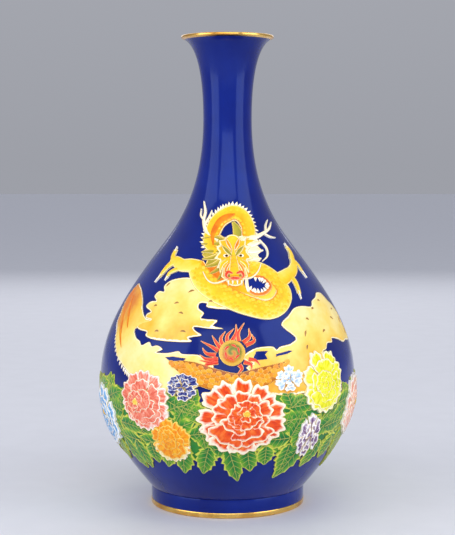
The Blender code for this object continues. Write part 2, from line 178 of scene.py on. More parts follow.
class Nodes:
    """A Principled material under construction."""

    def __init__(self, name, roughness, metallic=0.0, coat=0.0):
        self.material = bpy.data.materials.new(name)
        self.material.use_nodes = True
        self.tree = self.material.node_tree
        self.shader = self.tree.nodes["Principled BSDF"]
        self.shader.inputs["Roughness"].default_value = roughness
        self.shader.inputs["Metallic"].default_value = metallic
        self.shader.inputs["Coat Weight"].default_value = coat
        self.shader.inputs["Coat Roughness"].default_value = 0.05
        self.shader.inputs["Specular IOR Level"].default_value = 0.35

    def add(self, kind, **values):
        node = self.tree.nodes.new(kind)
        for key, value in values.items():
            setattr(node, key, value)
        return node

    def link(self, start, end):
        self.tree.links.new(start, end)

    def position(self):
        return self.add("ShaderNodeTexCoord").outputs["Object"]

    def attribute(self, name):
        return self.add("ShaderNodeAttribute", attribute_name=name)

    def noise(self, vector, scale, detail=3.0, roughness=0.55):
        node = self.add("ShaderNodeTexNoise")
        node.inputs["Scale"].default_value = scale
        node.inputs["Detail"].default_value = detail
        node.inputs["Roughness"].default_value = roughness
        self.link(vector, node.inputs["Vector"])
        return node.outputs["Fac"]

    def ramp(self, value, stops):
        node = self.add("ShaderNodeValToRGB")
        elements = node.color_ramp.elements
        while len(elements) < len(stops):
            elements.new(0.5)
        for element, (place, colour) in zip(elements, stops):
            element.position = place
            element.color = colour
        self.link(value, node.inputs["Fac"])
        return node.outputs["Color"]

    def mix(self, amount, first, second):
        node = self.add("ShaderNodeMix", data_type="RGBA")
        for socket, value in ((node.inputs[0], amount), (node.inputs[6], first), (node.inputs[7], second)):
            if isinstance(value, bpy.types.NodeSocket):
                self.link(value, socket)
            else:
                socket.default_value = value
        return node.outputs[2]

    def maths(self, operation, first, second=0.0):
        node = self.add("ShaderNodeMath", operation=operation)
        for socket, value in zip(node.inputs, (first, second)):
            if isinstance(value, bpy.types.NodeSocket):
                self.link(value, socket)
            else:
                socket.default_value = value
        return node.outputs[0]

    def bump(self, height, distance, strength):
        node = self.add("ShaderNodeBump")
        node.inputs["Strength"].default_value = strength
        node.inputs["Distance"].default_value = distance
        self.link(height, node.inputs["Height"])
        self.link(node.outputs["Normal"], self.shader.inputs["Normal"])

    def colour(self, socket):
        self.link(socket, self.shader.inputs["Base Color"])
        return self.material


def black_white(low, high):
    return [(low, (0, 0, 0, 1)), (high, (1, 1, 1, 1))]


def blue_enamel(name, light, dark, roughness=0.12):
    """Cobalt enamel: a slow drift of depth, fine firing pits and a hard gloss."""
    nodes = Nodes(name, roughness, coat=0.06)
    nodes.shader.inputs["Specular Tint"].default_value = (0.30, 0.48, 1.0, 1.0)
    drift = nodes.noise(nodes.position(), 18.0)
    specks = nodes.noise(nodes.position(), 900.0, 2.0)
    base = nodes.ramp(drift, [(0.3, dark), (0.7, light)])
    speckled = nodes.mix(nodes.ramp(specks, black_white(0.66, 0.78)), base, light)
    nodes.bump(nodes.noise(nodes.position(), 260.0, 4.0), 0.00006, 0.6)
    return nodes.colour(speckled)


def gilt(name, bright, worn):
    """Gilding: brushed fine rings, with thinner warm patches on what is handled."""
    nodes = Nodes(name, 0.2, metallic=1.0)
    wear = nodes.noise(nodes.position(), 55.0, 5.0)
    base = nodes.ramp(wear, [(0.35, worn), (0.6, bright)])
    smooth, rough = (0.14, 0.14, 0.14, 1), (0.30, 0.30, 0.30, 1)
    sheen = nodes.ramp(nodes.noise(nodes.position(), 240.0), [(0.3, smooth), (0.7, rough)])
    nodes.link(sheen, nodes.shader.inputs["Roughness"])
    nodes.bump(nodes.noise(nodes.position(), 700.0, 2.0), 0.00004, 0.5)
    return nodes.colour(base)


def petal_enamel(name, deep, bright, pale, edge):
    """A petal's fill: streaked from its root to its edge, which stays a pale rim."""
    nodes = Nodes(name, 0.18, coat=0.1)
    flow = nodes.attribute("flow").outputs["Vector"]
    rim = nodes.attribute("edge").outputs["Fac"]
    streaks = nodes.noise(flow, 3.2, 3.0, 0.6)
    shade = nodes.ramp(streaks, [(0.30, deep), (0.50, bright), (0.72, pale)])
    wobble = nodes.maths("MULTIPLY", nodes.maths("SUBTRACT", streaks, 0.5), 0.8)
    reach = nodes.ramp(nodes.maths("ADD", rim, wobble), black_white(0.30, 0.72))
    nodes.bump(streaks, 0.0003, 0.35)
    return nodes.colour(nodes.mix(reach, shade, edge))


def toned_enamel(name, colours, edge, drift=0.35, scale=110.0):
    """An enamel that runs through its colours with the tone of each cell, and pales at its edge."""
    nodes = Nodes(name, 0.16, coat=0.1)
    clouded = nodes.noise(nodes.position(), scale, 4.0)
    fine = nodes.noise(nodes.position(), scale * 9, 2.0)
    shift = nodes.maths("MULTIPLY", nodes.maths("SUBTRACT", clouded, 0.5), drift * 2)
    tone = nodes.maths("ADD", nodes.attribute("tone").outputs["Fac"], shift)
    base = nodes.ramp(tone, [(i / (len(colours) - 1), colour) for i, colour in enumerate(colours)])
    wobble = nodes.maths("MULTIPLY", nodes.maths("SUBTRACT", fine, 0.5), 0.5)
    rim = nodes.maths("ADD", nodes.attribute("edge").outputs["Fac"], wobble)
    nodes.bump(fine, 0.0002, 0.3)
    return nodes.colour(nodes.mix(nodes.ramp(rim, black_white(0.45, 0.70)), base, edge))


# The deep, bright, pale and edge colours of each petal enamel.
PETAL_COLOURS = {
    "red": ((208, 40, 4), (236, 82, 12), (248, 132, 48), (255, 244, 220)),
    "pink": ((214, 76, 54), (236, 120, 92), (250, 184, 160), (255, 246, 236)),
    "salmon": ((232, 120, 84), (244, 168, 136), (250, 208, 186), (255, 248, 240)),
    "orange": ((232, 112, 0), (248, 158, 10), (255, 200, 44), (255, 222, 110)),
    "yellow": ((206, 206, 0), (240, 236, 20), (252, 248, 110), (254, 254, 226)),
    "sky": ((24, 112, 190), (70, 158, 222), (168, 214, 244), (244, 250, 255)),
    "pale_blue": ((120, 160, 220), (184, 212, 242), (230, 240, 250), (252, 254, 255)),
    "indigo": ((14, 20, 84), (24, 34, 124), (190, 200, 232), (250, 252, 255)),
    "violet": ((60, 34, 84), (130, 96, 140), (240, 228, 236), (255, 252, 252)),
    "cream": ((250, 206, 96), (252, 228, 150), (254, 242, 200), (255, 252, 236)),
}
# Each toned enamel's full name, its colours from tone 0 to tone 1, and its edge colour.
TONED_COLOURS = {
    "stamen": ("stamen_yellow", [(250, 170, 20), (255, 206, 60), (255, 232, 110)], (255, 240, 160)),
    "vein": ("leaf_vein", [(176, 178, 84), (222, 212, 130)], (222, 212, 130)),
    "leaf": ("leaf_green", [(14, 96, 46), (34, 130, 46), (104, 166, 40), (176, 196, 44)], (214, 220, 80)),
    "dragon": (
        "dragon_gold", [(226, 112, 14), (248, 176, 16), (253, 208, 40), (254, 228, 110)], (255, 246, 200)
    ),
    "scale": ("tail_scale", [(160, 80, 4), (228, 140, 12), (252, 196, 50)], (186, 104, 14)),
    "cloud": (
        "cloud_cream", [(226, 130, 36), (246, 190, 60), (252, 220, 110), (254, 236, 164)], (255, 252, 226)
    ),
    "fin": ("fin_white", [(250, 224, 150), (254, 240, 200), (255, 250, 236)], (255, 253, 246)),
    "belly": ("belly_olive", [(120, 120, 40), (176, 166, 52), (226, 196, 70)], (240, 214, 110)),
    "mane": ("mane_olive", [(112, 112, 30), (176, 158, 44), (240, 204, 90)], (252, 232, 160)),
    "rust": ("rust_orange", [(190, 84, 26), (226, 120, 40), (242, 160, 70)], (250, 196, 120)),
    "mark": ("cloud_mark", [(112, 84, 44), (172, 124, 56), (214, 150, 66)], (220, 170, 90)),
    "flame": ("flame_red", [(206, 34, 20), (230, 66, 34), (244, 120, 80)], (252, 170, 130)),
    "pearl": (
        "pearl_olive", [(96, 120, 40), (156, 140, 44), (200, 150, 50), (214, 110, 40)], (220, 176, 70)
    ),
    "eye": ("eye_black", [(24, 16, 20), (40, 26, 30)], (60, 40, 30)),
}
# The enamels whose colours drift other than by the usual amount, or at another scale.
TONED_DRIFT = {
    "leaf": {"drift": 0.3}, "dragon": {"drift": 0.3}, "cloud": {"drift": 0.55, "scale": 55.0},
}


def all_materials():
    """Every material, by the short name that the pieces use."""
    found = {
        "ground": blue_enamel("ground_blue", linear(18, 38, 128), linear(18, 25, 98)),
        "lining": blue_enamel("lining_blue", linear(60, 112, 172), linear(44, 88, 150), 0.3),
        "gilt": gilt("gilt", linear(252, 206, 112), linear(222, 160, 70)),
        "wire": gilt("wire_gilt", linear(255, 222, 130), linear(238, 190, 90)),
        "copper": gilt("copper", linear(196, 124, 86), linear(160, 92, 62)),
    }
    for name, colours in PETAL_COLOURS.items():
        found[name] = petal_enamel("petal_" + name, *(linear(*colour) for colour in colours))
    for name, (full_name, colours, edge) in TONED_COLOURS.items():
        inner = [linear(*colour) for colour in colours]
        found[name] = toned_enamel(full_name, inner, linear(*edge), **TONED_DRIFT.get(name, {}))
    return found


MATERIALS = all_materials()


# ---------------------------------------------------------------- turned pieces


def add_piece(obj, material, slot, *replaced):
    """Puts a finished object in the scene as part of the vase."""
    bpy.context.scene.collection.objects.link(obj)
    obj.data.materials.append(MATERIALS[material])
    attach(obj, "root")
    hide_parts(*replaced)


def turned(name, section):
    """A closed section of (radius, height) points turned about the axis."""
    section = np.asarray(section, float)
    turn = np.linspace(0.0, math.tau, TURN_STEPS, endpoint=False)[:, None]
    radius, height = section[:, 0][None], section[:, 1][None]
    points = np.stack([radius * np.sin(turn), -radius * np.cos(turn), height + 0 * turn], -1)
    count = len(section)
    faces = []
    for step in range(TURN_STEPS):
        here, there = step * count, (step + 1) % TURN_STEPS * count
        for i in range(count):
            j = (i + 1) % count
            faces.append((here + i, there + i, there + j, here + j))
    mesh = bpy.data.meshes.new(name)
    mesh.from_pydata(points.reshape(-1, 3).tolist(), [], faces)
    mesh.shade_smooth()
    return bpy.data.objects.new(name, mesh)


def rounded(corners, radii, steps=5):
    """A closed section whose corners are rounded by short Bezier curves."""
    section = []
    count = len(corners)
    for i, (corner, radius) in enumerate(zip(corners, radii)):
        corner = np.array(corner)
        ends = []
        for other in (corners[i - 1], corners[(i + 1) % count]):
            way = np.array(other) - corner
            ends.append(corner + way / np.linalg.norm(way) * radius)
        for t in np.linspace(0.0, 1.0, steps):
            section.append((1 - t) ** 2 * ends[0] + 2 * (1 - t) * t * corner + t * t * ends[1])
    return section


def wall_section(low, high, depth, thickness):
    """The section of one layer of the wall, down its outside and up its inside."""
    heights = WALL_Z[(WALL_Z > low) & (WALL_Z < high)]
    heights = np.concatenate([[low], heights[::2], [high]])
    sides = []
    for inset in (depth, depth + thickness):
        radius = wall_radius(heights) - inset * np.interp(heights, WALL_Z, WALL_OUT)
        level = heights - inset * np.interp(heights, WALL_Z, WALL_UP)
        sides.append(np.stack([radius, level], -1))
    return np.vstack([sides[0][::-1], sides[1]])


def walls():
    """The smooth wall: the enamel ground outside, the copper body and the lining inside."""
    bottom, top = WALL_Z[0], WALL_Z[-1]
    ground = turned("blue_ground_wall", wall_section(bottom, top, 0.0, GROUND_THICKNESS))
    add_piece(ground, "ground", "blue_enamel", "neck_enamel", "shoulder_enamel", "lower_enamel")
    lining_section = wall_section(bottom, top, WALL_THICKNESS - LINING_THICKNESS, LINING_THICKNESS)
    lining = turned("inner_lining_wall", lining_section)
    add_piece(lining, "lining", "lining_enamel", "neck_lining", "body_lining")
    gap = LAYER_GAP / 2
    seams = [bottom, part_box("shoulder_shell")[0].z, NECK_BASE, top]
    for node, low, high in zip(("belly_shell", "shoulder_shell", "neck_shell"), seams, seams[1:]):
        shell = turned(node + "_wall", wall_section(low + gap, high - gap, COPPER_DEPTH, COPPER_THICKNESS))
        add_piece(shell, "copper", "copper", node)


def mouth_rim():
    """The gilt bead on the lip, from the end of the wall to the frame's rim box."""
    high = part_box("mouth_rim")[1]
    nose, top = high.x, high.z
    end_radius, end_height = WALL_R[-1], WALL_Z[-1]
    corners = [
        (end_radius - 2.2 * MM, top),
        (nose - 0.2 * MM, top),
        (nose, top - 2.0 * MM),
        (end_radius - 0.2 * MM, end_height - 0.15 * MM),
        (end_radius - 2.4 * MM, end_height + 1.4 * MM),
    ]
    radii = [0.35 * MM, 0.9 * MM, 0.8 * MM, 0.3 * MM, 0.2 * MM]
    add_piece(turned("mouth_rim_bead", rounded(corners, radii)), "gilt", "gilt", "mouth_rim")


def foot():
    """The gilt ring under the foot, and the blue skin of the upright foot above it."""
    low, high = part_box("foot_rim")
    outer, top = high.x, high.z
    inner = outer - FOOT_RING_WIDTH
    ring = [(outer, top), (outer, low.z), (inner, low.z), (inner, top)]
    ring_radii = [0.9 * MM, 0.9 * MM, 0.7 * MM, 0.2 * MM]
    add_piece(turned("foot_rim_ring", rounded(ring, ring_radii)), "gilt", "gilt", "foot_rim")
    radius = half_width("foot_enamel")
    inside_radius = radius - GROUND_THICKNESS
    skin_top, skin_bottom = WALL_Z[0] + 0.05 * MM, top - 0.1 * MM
    skin = [
        (radius, skin_top), (radius, skin_bottom), (inside_radius, skin_bottom), (inside_radius, skin_top),
    ]
    add_piece(
        turned("foot_wall_skin", rounded(skin, [0.12 * MM] * 4, 3)), "ground", "blue_enamel", "foot_enamel",
    )


def carried_over_nodes():
    """The foot's copper parts and the enamel under the base keep the frame's own solids."""
    looks = {
        "foot_collar": "copper", "base_plate": "copper", "floor_lining": "lining", "base_enamel": "lining",
    }
    for node, material in looks.items():
        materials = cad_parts[node].data.materials
        materials.clear()
        materials.append(MATERIALS[material])


# ---------------------------------------------------------------- raised enamel on the wall


def local_mm(centre, spots):
    """The reverse of laid: places on the wall as mm right and up from a (degrees, mm) centre."""
    start = np.interp(centre[1] * MM, WALL_Z, WALL_S)
    across = (spots[..., 0] - math.radians(centre[0])) * wall_radius(spots[..., 1])
    return np.stack([across, np.interp(spots[..., 1], WALL_Z, WALL_S) - start], axis=-1) / MM


def catmull_rom(a, b, c, d, steps):
    """The stretches from each point of b to its partner in c, bent by the points before and after."""
    t = np.linspace(0.0, 1.0, steps, endpoint=False)[None, :, None]
    a, b, c, d = (p[:, None, :] for p in (a, b, c, d))
    curve = 2 * b + (c - a) * t + (2 * a - 5 * b + 4 * c - d) * t**2 + (3 * b - 3 * c + d - a) * t**3
    return (curve / 2).reshape(-1, b.shape[-1])


def smooth_loop(points, steps):
    """A closed Catmull-Rom curve through given points."""
    points = np.asarray(points, float)
    before, after, beyond = (np.roll(points, -shift, axis=0) for shift in (-1, 1, 2))
    return catmull_rom(before, points, after, beyond, steps)


def smooth_path(points, steps=8):
    """An open Catmull-Rom curve through given points."""
    points = np.asarray(points, float)
    ends = np.vstack([2 * points[0] - points[1], points, 2 * points[-1] - points[-2]])
    curve = catmull_rom(*(ends[k : len(points) - 1 + k] for k in range(4)), steps)
    return np.vstack([curve, points[-1:]])


def distances(points, loop):
    """Each point's distance to a closed loop."""
    way = np.roll(loop, -1, axis=0) - loop
    share = ((points[:, None] - loop) * way).sum(2) / ((way**2).sum(1) + 1e-9)
    gaps = points[:, None] - loop - np.clip(share, 0.0, 1.0)[..., None] * way
    return np.sqrt((gaps**2).sum(2).min(1))


def inside(points, loop):
    """Whether each point lies in a closed loop."""
    x, y = points[:, :1], points[:, 1:]
    (x0, y0), (x1, y1) = loop.T, np.roll(loop, -1, axis=0).T
    crossing = (y0 > y) != (y1 > y)
    reach = x0 + (y - y0) * (x1 - x0) / np.where(y1 == y0, 1.0, y1 - y0)
    return (crossing & (x < reach)).sum(1) % 2 == 1


def filled(loop, spacing, bevel):
    """Triangles that fill a loop, with a ring of points inside its bevel and a grid beyond."""
    ahead, behind = np.roll(loop, -1, axis=0), np.roll(loop, 1, axis=0)
    way = ahead - behind
    turn = (loop[:, 0] * ahead[:, 1] - ahead[:, 0] * loop[:, 1]).sum()
    inwards = np.stack([-way[:, 1], way[:, 0]], -1) * math.copysign(1.0, turn)
    inwards /= np.linalg.norm(inwards, axis=1)[:, None] + 1e-9
    ring = loop + inwards * bevel * 0.6
    ring = ring[inside(ring, loop)]
    ring = ring[distances(ring, loop) > bevel * 0.5]
    low, high = loop.min(axis=0), loop.max(axis=0)
    x, y = np.meshgrid(np.arange(low[0], high[0], spacing), np.arange(low[1], high[1], spacing * 0.87))
    x[1::2] += spacing / 2
    grid = np.stack([x.ravel(), y.ravel()], -1)
    grid = grid[inside(grid, loop)]
    if len(grid):
        grid = grid[distances(grid, loop) > bevel * 0.6 + spacing * 0.4]
    verts = [Vector(p) for p in np.vstack([loop, ring, grid])]
    edges = [(i, (i + 1) % len(loop)) for i in range(len(loop))]
    points, _, faces, *_ = delaunay_2d_cdt(verts, edges, [], 1, 1e-4)
    return np.array([tuple(p) for p in points]), faces


class Relief:
    """A group of raised cells on the wall, and the gilt wires that edge them."""

    def __init__(self, name, *materials):
        self.name = name
        self.materials = materials
        self.points, self.faces, self.slots = [], [], []
        self.edge, self.tone, self.flow = [], [], []
        self.wires = []

    def add(self, spots, lift, edge, tone, flow, faces, slot):
        """Keeps one block of points, faces and values for the mesh."""
        start = sum(len(block) for block in self.points)
        self.points.append(on_wall(spots, lift * MM))
        self.edge.append(edge)
        self.tone.append(tone)
        self.flow.append(flow)
        self.faces += [tuple(start + i for i in face) for face in faces]
        self.slots += [slot] * len(faces)

    def cell(
        self, centre, loop, lift, dome=0.5, bevel=1.0, edge_width=1.4, shade=None, slot=0, spacing=1.8,
        wire=0.16,
    ):
        """A pillow of enamel inside a loop of local mm. shade gives (edge weight, tone, flow)."""
        points, faces = filled(np.asarray(loop, float), spacing, bevel)
        if not faces:
            return
        depth = distances(points, loop)
        rise = 0.35 + 0.65 * np.sin(np.clip(depth / bevel, 0.0, 1.0) * math.pi / 2)
        height = lift + dome * rise
        weight, tone, flow = shade(points) if shade else (1.0, 0.5 + 0 * depth, None)
        if flow is None:
            flow = np.column_stack([points / 20.0, 0 * depth])
        edge = np.clip(1.0 - depth / edge_width, 0.0, 1.0) * weight
        directed = {(f[i], f[(i + 1) % len(f)]) for f in faces for i in range(len(f))}
        border = [(a, b) for a, b in directed if (b, a) not in directed]
        low = {}
        for a, _ in border:
            low.setdefault(a, len(points) + len(low))
        faces = [tuple(f) for f in faces]
        faces += [(b, a, low[a], low[b]) for a, b in border if b in low]
        rows = list(low)
        spots = laid(centre, np.vstack([points, points[rows]]))
        height = np.concatenate([height, np.full(len(rows), SKIRT_LIFT)])
        tone = np.broadcast_to(tone, depth.shape)
        edge, tone, flow = (np.concatenate([value, value[rows]]) for value in (edge, tone, flow))
        self.add(spots, height, edge, tone, flow, faces, slot)
        if wire:
            self.wires.append((on_wall(laid(centre, loop), (lift + 0.4 * dome) * MM), True, wire))

    def strip(
        self, path, lift, dome=0.6, edge_width=1.2, tones=(0.0, 1.0), slot=0, across=9, wire=0.16,
    ):
        """A rounded band along a path of (degrees, mm, mm wide). Its tone runs from left to right."""
        path = smooth_path(path)
        azimuth, height, width = np.radians(path[:, 0]), path[:, 1] * MM, np.maximum(path[:, 2], 0.3) * MM
        radius = wall_radius(height)
        climb = np.interp(height, WALL_Z, WALL_S)
        way = np.stack([np.gradient(azimuth) * radius, np.gradient(climb)], -1)
        way /= np.linalg.norm(way, axis=1)[:, None] + 1e-12
        x = np.linspace(-1.0, 1.0, across)
        x = np.concatenate([[-1.0], x, [1.0]])
        rows = np.concatenate([[0], np.arange(len(path)), [len(path) - 1]])
        azimuth, climb, width, way, radius = (value[rows] for value in (azimuth, climb, width, way, radius))
        spread = x[None] * width[:, None] / 2
        spots_azimuth = azimuth[:, None] + way[:, 1:] * spread / radius[:, None]
        spots_height = np.interp(climb[:, None] - way[:, :1] * spread, WALL_S, WALL_Z)
        rise = lift + dome * (0.3 + 0.7 * np.sqrt(1.0 - x**2))[None] + 0 * spread
        rise[0] = rise[-1] = SKIRT_LIFT
        rise[:, 0] = rise[:, -1] = SKIRT_LIFT
        depth = (1.0 - np.abs(x))[None] * width[:, None] / 2 / MM
        edge = np.clip(1.0 - depth / edge_width, 0.0, 1.0) if edge_width else 0 * depth
        tone = tones[0] + (tones[1] - tones[0]) * (x[None] + 1) / 2 + 0 * spread
        travel = np.concatenate([[0.0], np.cumsum(np.hypot(np.diff(azimuth) * radius[1:], np.diff(climb)))])
        flow = np.stack([x[None] + 0 * spread, travel[:, None] / MM / 12 + 0 * spread, 0 * spread + lift], -1)
        count = len(x)
        faces = []
        for row in range(len(rows) - 1):
            for column in range(count - 1):
                first = row * count + column
                faces.append((first, first + 1, first + count + 1, first + count))
        spots = np.stack([spots_azimuth, spots_height], -1)
        flat = spots.reshape(-1, 2)
        self.add(flat, rise.ravel(), edge.ravel(), tone.ravel(), flow.reshape(-1, 3), faces, slot)
        if wire:
            outline = np.vstack([spots[1:-1, 0], spots[1:-1, -1][::-1]])
            self.wires.append((on_wall(outline, (lift + 0.35 * dome) * MM), True, wire))

    def line(self, path, lift, radius):
        """A gilt wire laid on the enamel along a path of (degrees, mm)."""
        self.wires.append((on_wall(places(smooth_path(path, 5)), lift * MM), False, radius))

    def finish(self, node, wire_material="wire"):
        """Makes the group's mesh, which replaces a node, and its wires."""
        mesh = bpy.data.meshes.new(self.name)
        mesh.from_pydata(np.vstack(self.points).tolist(), [], self.faces)
        for name, kind, values in (
            ("edge", "FLOAT", np.concatenate(self.edge)),
            ("tone", "FLOAT", np.concatenate(self.tone)),
            ("flow", "FLOAT_VECTOR", np.vstack(self.flow).ravel()),
        ):
            field = "value" if kind == "FLOAT" else "vector"
            mesh.attributes.new(name, kind, "POINT").data.foreach_set(field, values.astype(np.float32))
        mesh.polygons.foreach_set("material_index", self.slots)
        for material in self.materials:
            mesh.materials.append(MATERIALS[material])
        mesh.shade_smooth()
        mesh.set_sharp_from_angle(angle=math.radians(55.0))
        obj = bpy.data.objects.new(self.name, mesh)
        bpy.context.scene.collection.objects.link(obj)
        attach(obj, "root")
        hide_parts(node)
        if self.wires:
            wire_object(self.name + "_wires", self.wires, wire_material)


def wire_object(name, wires, material):
    """All the wires of a group as one round curve, each (points, closed, radius in mm)."""
    curve = bpy.data.curves.new(name, "CURVE")
    curve.dimensions = "3D"
    curve.bevel_depth = MM
    curve.bevel_resolution = 1
    curve.use_fill_caps = True
    for points, closed, radius in wires:
        spline = curve.splines.new("POLY")
        spline.points.add(len(points) - 1)
        spline.points.foreach_set("co", np.column_stack([points, np.ones(len(points))]).ravel())
        spline.points.foreach_set("radius", np.full(len(points), radius))
        spline.use_cyclic_u = closed
    curve.materials.append(MATERIALS[material])
    obj = bpy.data.objects.new(name, curve)
    bpy.context.scene.collection.objects.link(obj)
    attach(obj, "root")


# ---------------------------------------------------------------- leaves


VEIN_REACH = 0.16
# How many leaves stand above, at the sides and below, and how many strips the bed has.
UPPER_LEAVES, SIDE_LEAVES, HANGING_LEAVES, BED_STRIPS = 38, 96, 38, 96
# The leaves that show between the flowers: degrees, mm, and the way each points.
BETWEEN_FLOWERS = [
    (-28, 101, 115), (-16, 101, 215), (-25, 92, 70), (-12, 82, 165), (-17, 73, 80), (35, 80, 195),
    (29, 70, 25),
]


def leaf_half_width(t, width):
    """Half a leaf's width at a share t of its length."""
    return width / 2 * np.sin(math.pi * t**0.8) ** 0.75


def leaf(relief, root, angle, length, width, lift, teeth=5):
    """A serrated peony leaf from its root, pointing at an angle in degrees clockwise from up."""
    bend = RANDOM.uniform(-0.12, 0.12) * length
    turn = math.radians(angle)
    along = np.array([math.sin(turn), math.cos(turn)])
    across = np.array([math.cos(turn), -math.sin(turn)])

    def spot(t, side):
        return along * t * length + across * (side + bend * t * t)

    right, left = [], []
    for tooth in range(teeth):
        for share, reach in ((0.1, 0.82), (0.92, 1.12)):
            t = (tooth + share) / teeth
            half = leaf_half_width(t, width) * reach + 0.15
            right.append(spot(t, half))
            left.append(spot(t - 0.01, -half))
    loop = [spot(0.0, 0.0), *left, spot(1.0, 0.0), *right[::-1]]

    def shade(points):
        t = np.clip(points @ along / length, 0.0, 1.0)
        side = np.abs(points @ across - bend * t * t)
        tone = np.clip(side / (leaf_half_width(np.clip(t, 0.08, 0.96), width) + 0.3), 0.0, 1.0)
        flow = np.column_stack([points @ across / 5.0, t * 2.0 - side / 8.0, 0 * t + lift * 9])
        return 1.0, tone * 0.7 + 0.3 * t, flow

    relief.cell(root, loop, lift, dome=0.4, bevel=1.0, edge_width=0.9, shade=shade, spacing=2.6, wire=0.16)
    level = (lift + 0.42) * MM
    rib = np.array([spot(t, 0.0) for t in np.linspace(0.04, 0.94, 8)])
    relief.wires.append((on_wall(laid(root, rib), level), False, 0.26))
    for t in (0.18, 0.34, 0.5, 0.66):
        for way in (-1.0, 1.0):
            half = leaf_half_width(t + VEIN_REACH, width) * 0.8
            vein = np.array([spot(t + VEIN_REACH * s, way * half * s) for s in np.linspace(0.0, 1.0, 4)])
            relief.wires.append((on_wall(laid(root, vein), level), False, 0.17))


def garland_bed(relief):
    """A low green band, notched above and below, that the leaves cover."""
    for step in range(BED_STRIPS):
        azimuth = 360.0 * step / BED_STRIPS
        top = 101.0 + 3.0 * math.sin(math.radians(azimuth * 5)) + RANDOM.uniform(-1.5, 1.5)
        bottom = 56.0 + 3.0 * math.sin(math.radians(azimuth * 7)) + RANDOM.uniform(-1.5, 1.5)
        bed = [(azimuth, bottom, 8.0), (azimuth, 78.0, 9.0), (azimuth, top, 8.0)]
        tone = RANDOM.uniform(0.1, 0.5)
        relief.strip(bed, 0.05, 0.03, edge_width=0, tones=(tone, tone), across=3, wire=0)


def leaf_garland():
    """The bed, then leaves above, at the sides, loose, between the flowers, and hanging below."""
    relief = Relief("leaf_garland_leaves", "leaf")
    garland_bed(relief)
    between = RANDOM.uniform
    for k in range(UPPER_LEAVES):
        root = (360.0 / UPPER_LEAVES * k + between(-2, 2), 90.0 + between(-2, 2))
        angle = RANDOM.choice((-1, 1)) * between(15, 55)
        leaf(relief, root, angle, between(19, 25), between(12, 15), 0.15 + 0.02 * (k % 7))
    for k in range(SIDE_LEAVES):
        level = (66.0, 76.0, 86.0, 95.0)[k % 4]
        root = (360.0 / SIDE_LEAVES * k + between(-2, 2), level + between(-4, 4))
        angle = (90 if k % 2 else -90) + between(-35, 25)
        leaf(relief, root, angle, between(22, 28), between(14, 18), 0.35 + 0.02 * (k % 7))
    for k in range(SIDE_LEAVES):
        root = (between(0, 360), between(68, 96))
        lift = 0.12 + 0.02 * (k % 9)
        leaf(relief, root, between(0, 360), between(16, 24), between(11, 15), lift, teeth=4)
    for azimuth, height, angle in BETWEEN_FLOWERS:
        leaf(relief, (azimuth, height), angle, 22, 15, 0.5)
    for k in range(HANGING_LEAVES):
        azimuth = 360.0 / HANGING_LEAVES * k + between(-1.5, 1.5)
        tip = 36.0 + 11.0 * abs(math.sin(math.radians(azimuth * 4.7))) + between(-2, 3)
        angle = 180.0 + between(-24, 24)
        length = (66.0 - tip) * 1.12 / abs(math.cos(math.radians(angle)))
        leaf(relief, (azimuth, 64.0), angle, length, between(15, 18), 0.55 + 0.02 * (k % 7))
    relief.finish("leaf_garland", wire_material="vein")


# ---------------------------------------------------------------- flowers


def petal(relief, flower, angle, root, length, width, lift, slot=0, ruffles=6, ruffle=0.06, white=2.0,
          shift=(0.0, 0.0), pointed=0.0):
    """One petal. All its sizes are shares of the flower's half width and half height."""
    centre, half = flower
    turn = math.radians(angle)
    along = np.array([math.sin(turn), math.cos(turn)])
    across = np.array([along[1], -along[0]])
    phase = RANDOM.uniform(0, math.tau)
    theta = np.linspace(-math.pi, math.pi, 40, endpoint=False)
    tip = np.maximum(np.cos(theta), 0.0)
    reach = (0.5 + 0.5 * np.cos(theta)) ** 0.6 * (1 + ruffle * np.sin(ruffles * theta + phase) * tip)
    side = np.sin(theta) * (0.4 + 0.6 * reach) * (1 + ruffle * np.cos(ruffles * theta + phase) * tip)
    side *= 1.0 - pointed * tip
    loop = (root + length * reach)[:, None] * along + (width / 2 * side)[:, None] * across
    loop = (loop + np.array(shift)) * half
    seed = RANDOM.uniform(0, 50)

    def shade(points):
        unit = points / half - np.array(shift)
        t = np.clip((unit @ along - root) / length, 0.0, 1.2)
        spread = unit @ across / width
        weight = np.clip((t - 0.25) / 0.3, 0.0, 1.0)
        return weight, np.clip(t, 0.0, 1.0), np.column_stack([spread * 3.2, t * 0.7, seed + 0 * t])

    span = min(length, width) * min(half)
    relief.cell(
        centre,
        loop[::-1],
        lift,
        dome=0.5,
        bevel=min(1.6, span * 0.25),
        edge_width=white,
        shade=shade,
        slot=slot,
        spacing=max(1.3, span * 0.16),
        wire=0.11,
    )


def ring_of_petals(relief, flower, count, root, length, width, lift, start=0.0, **more):
    """Petals round the flower's middle, no two alike, each a little higher than the last."""
    for k in range(count):
        angle = start + 360.0 * (k + RANDOM.uniform(-0.16, 0.16)) / count
        stretch, spread = RANDOM.uniform(0.86, 1.08), RANDOM.uniform(0.85, 1.2)
        petal(relief, flower, angle, root, length * stretch, width * spread, lift + 0.05 * (k % 3), **more)


def round_loop(count):
    """A unit circle of points."""
    theta = np.linspace(0.0, math.tau, count, endpoint=False)
    return np.stack([np.cos(theta), np.sin(theta)], -1)


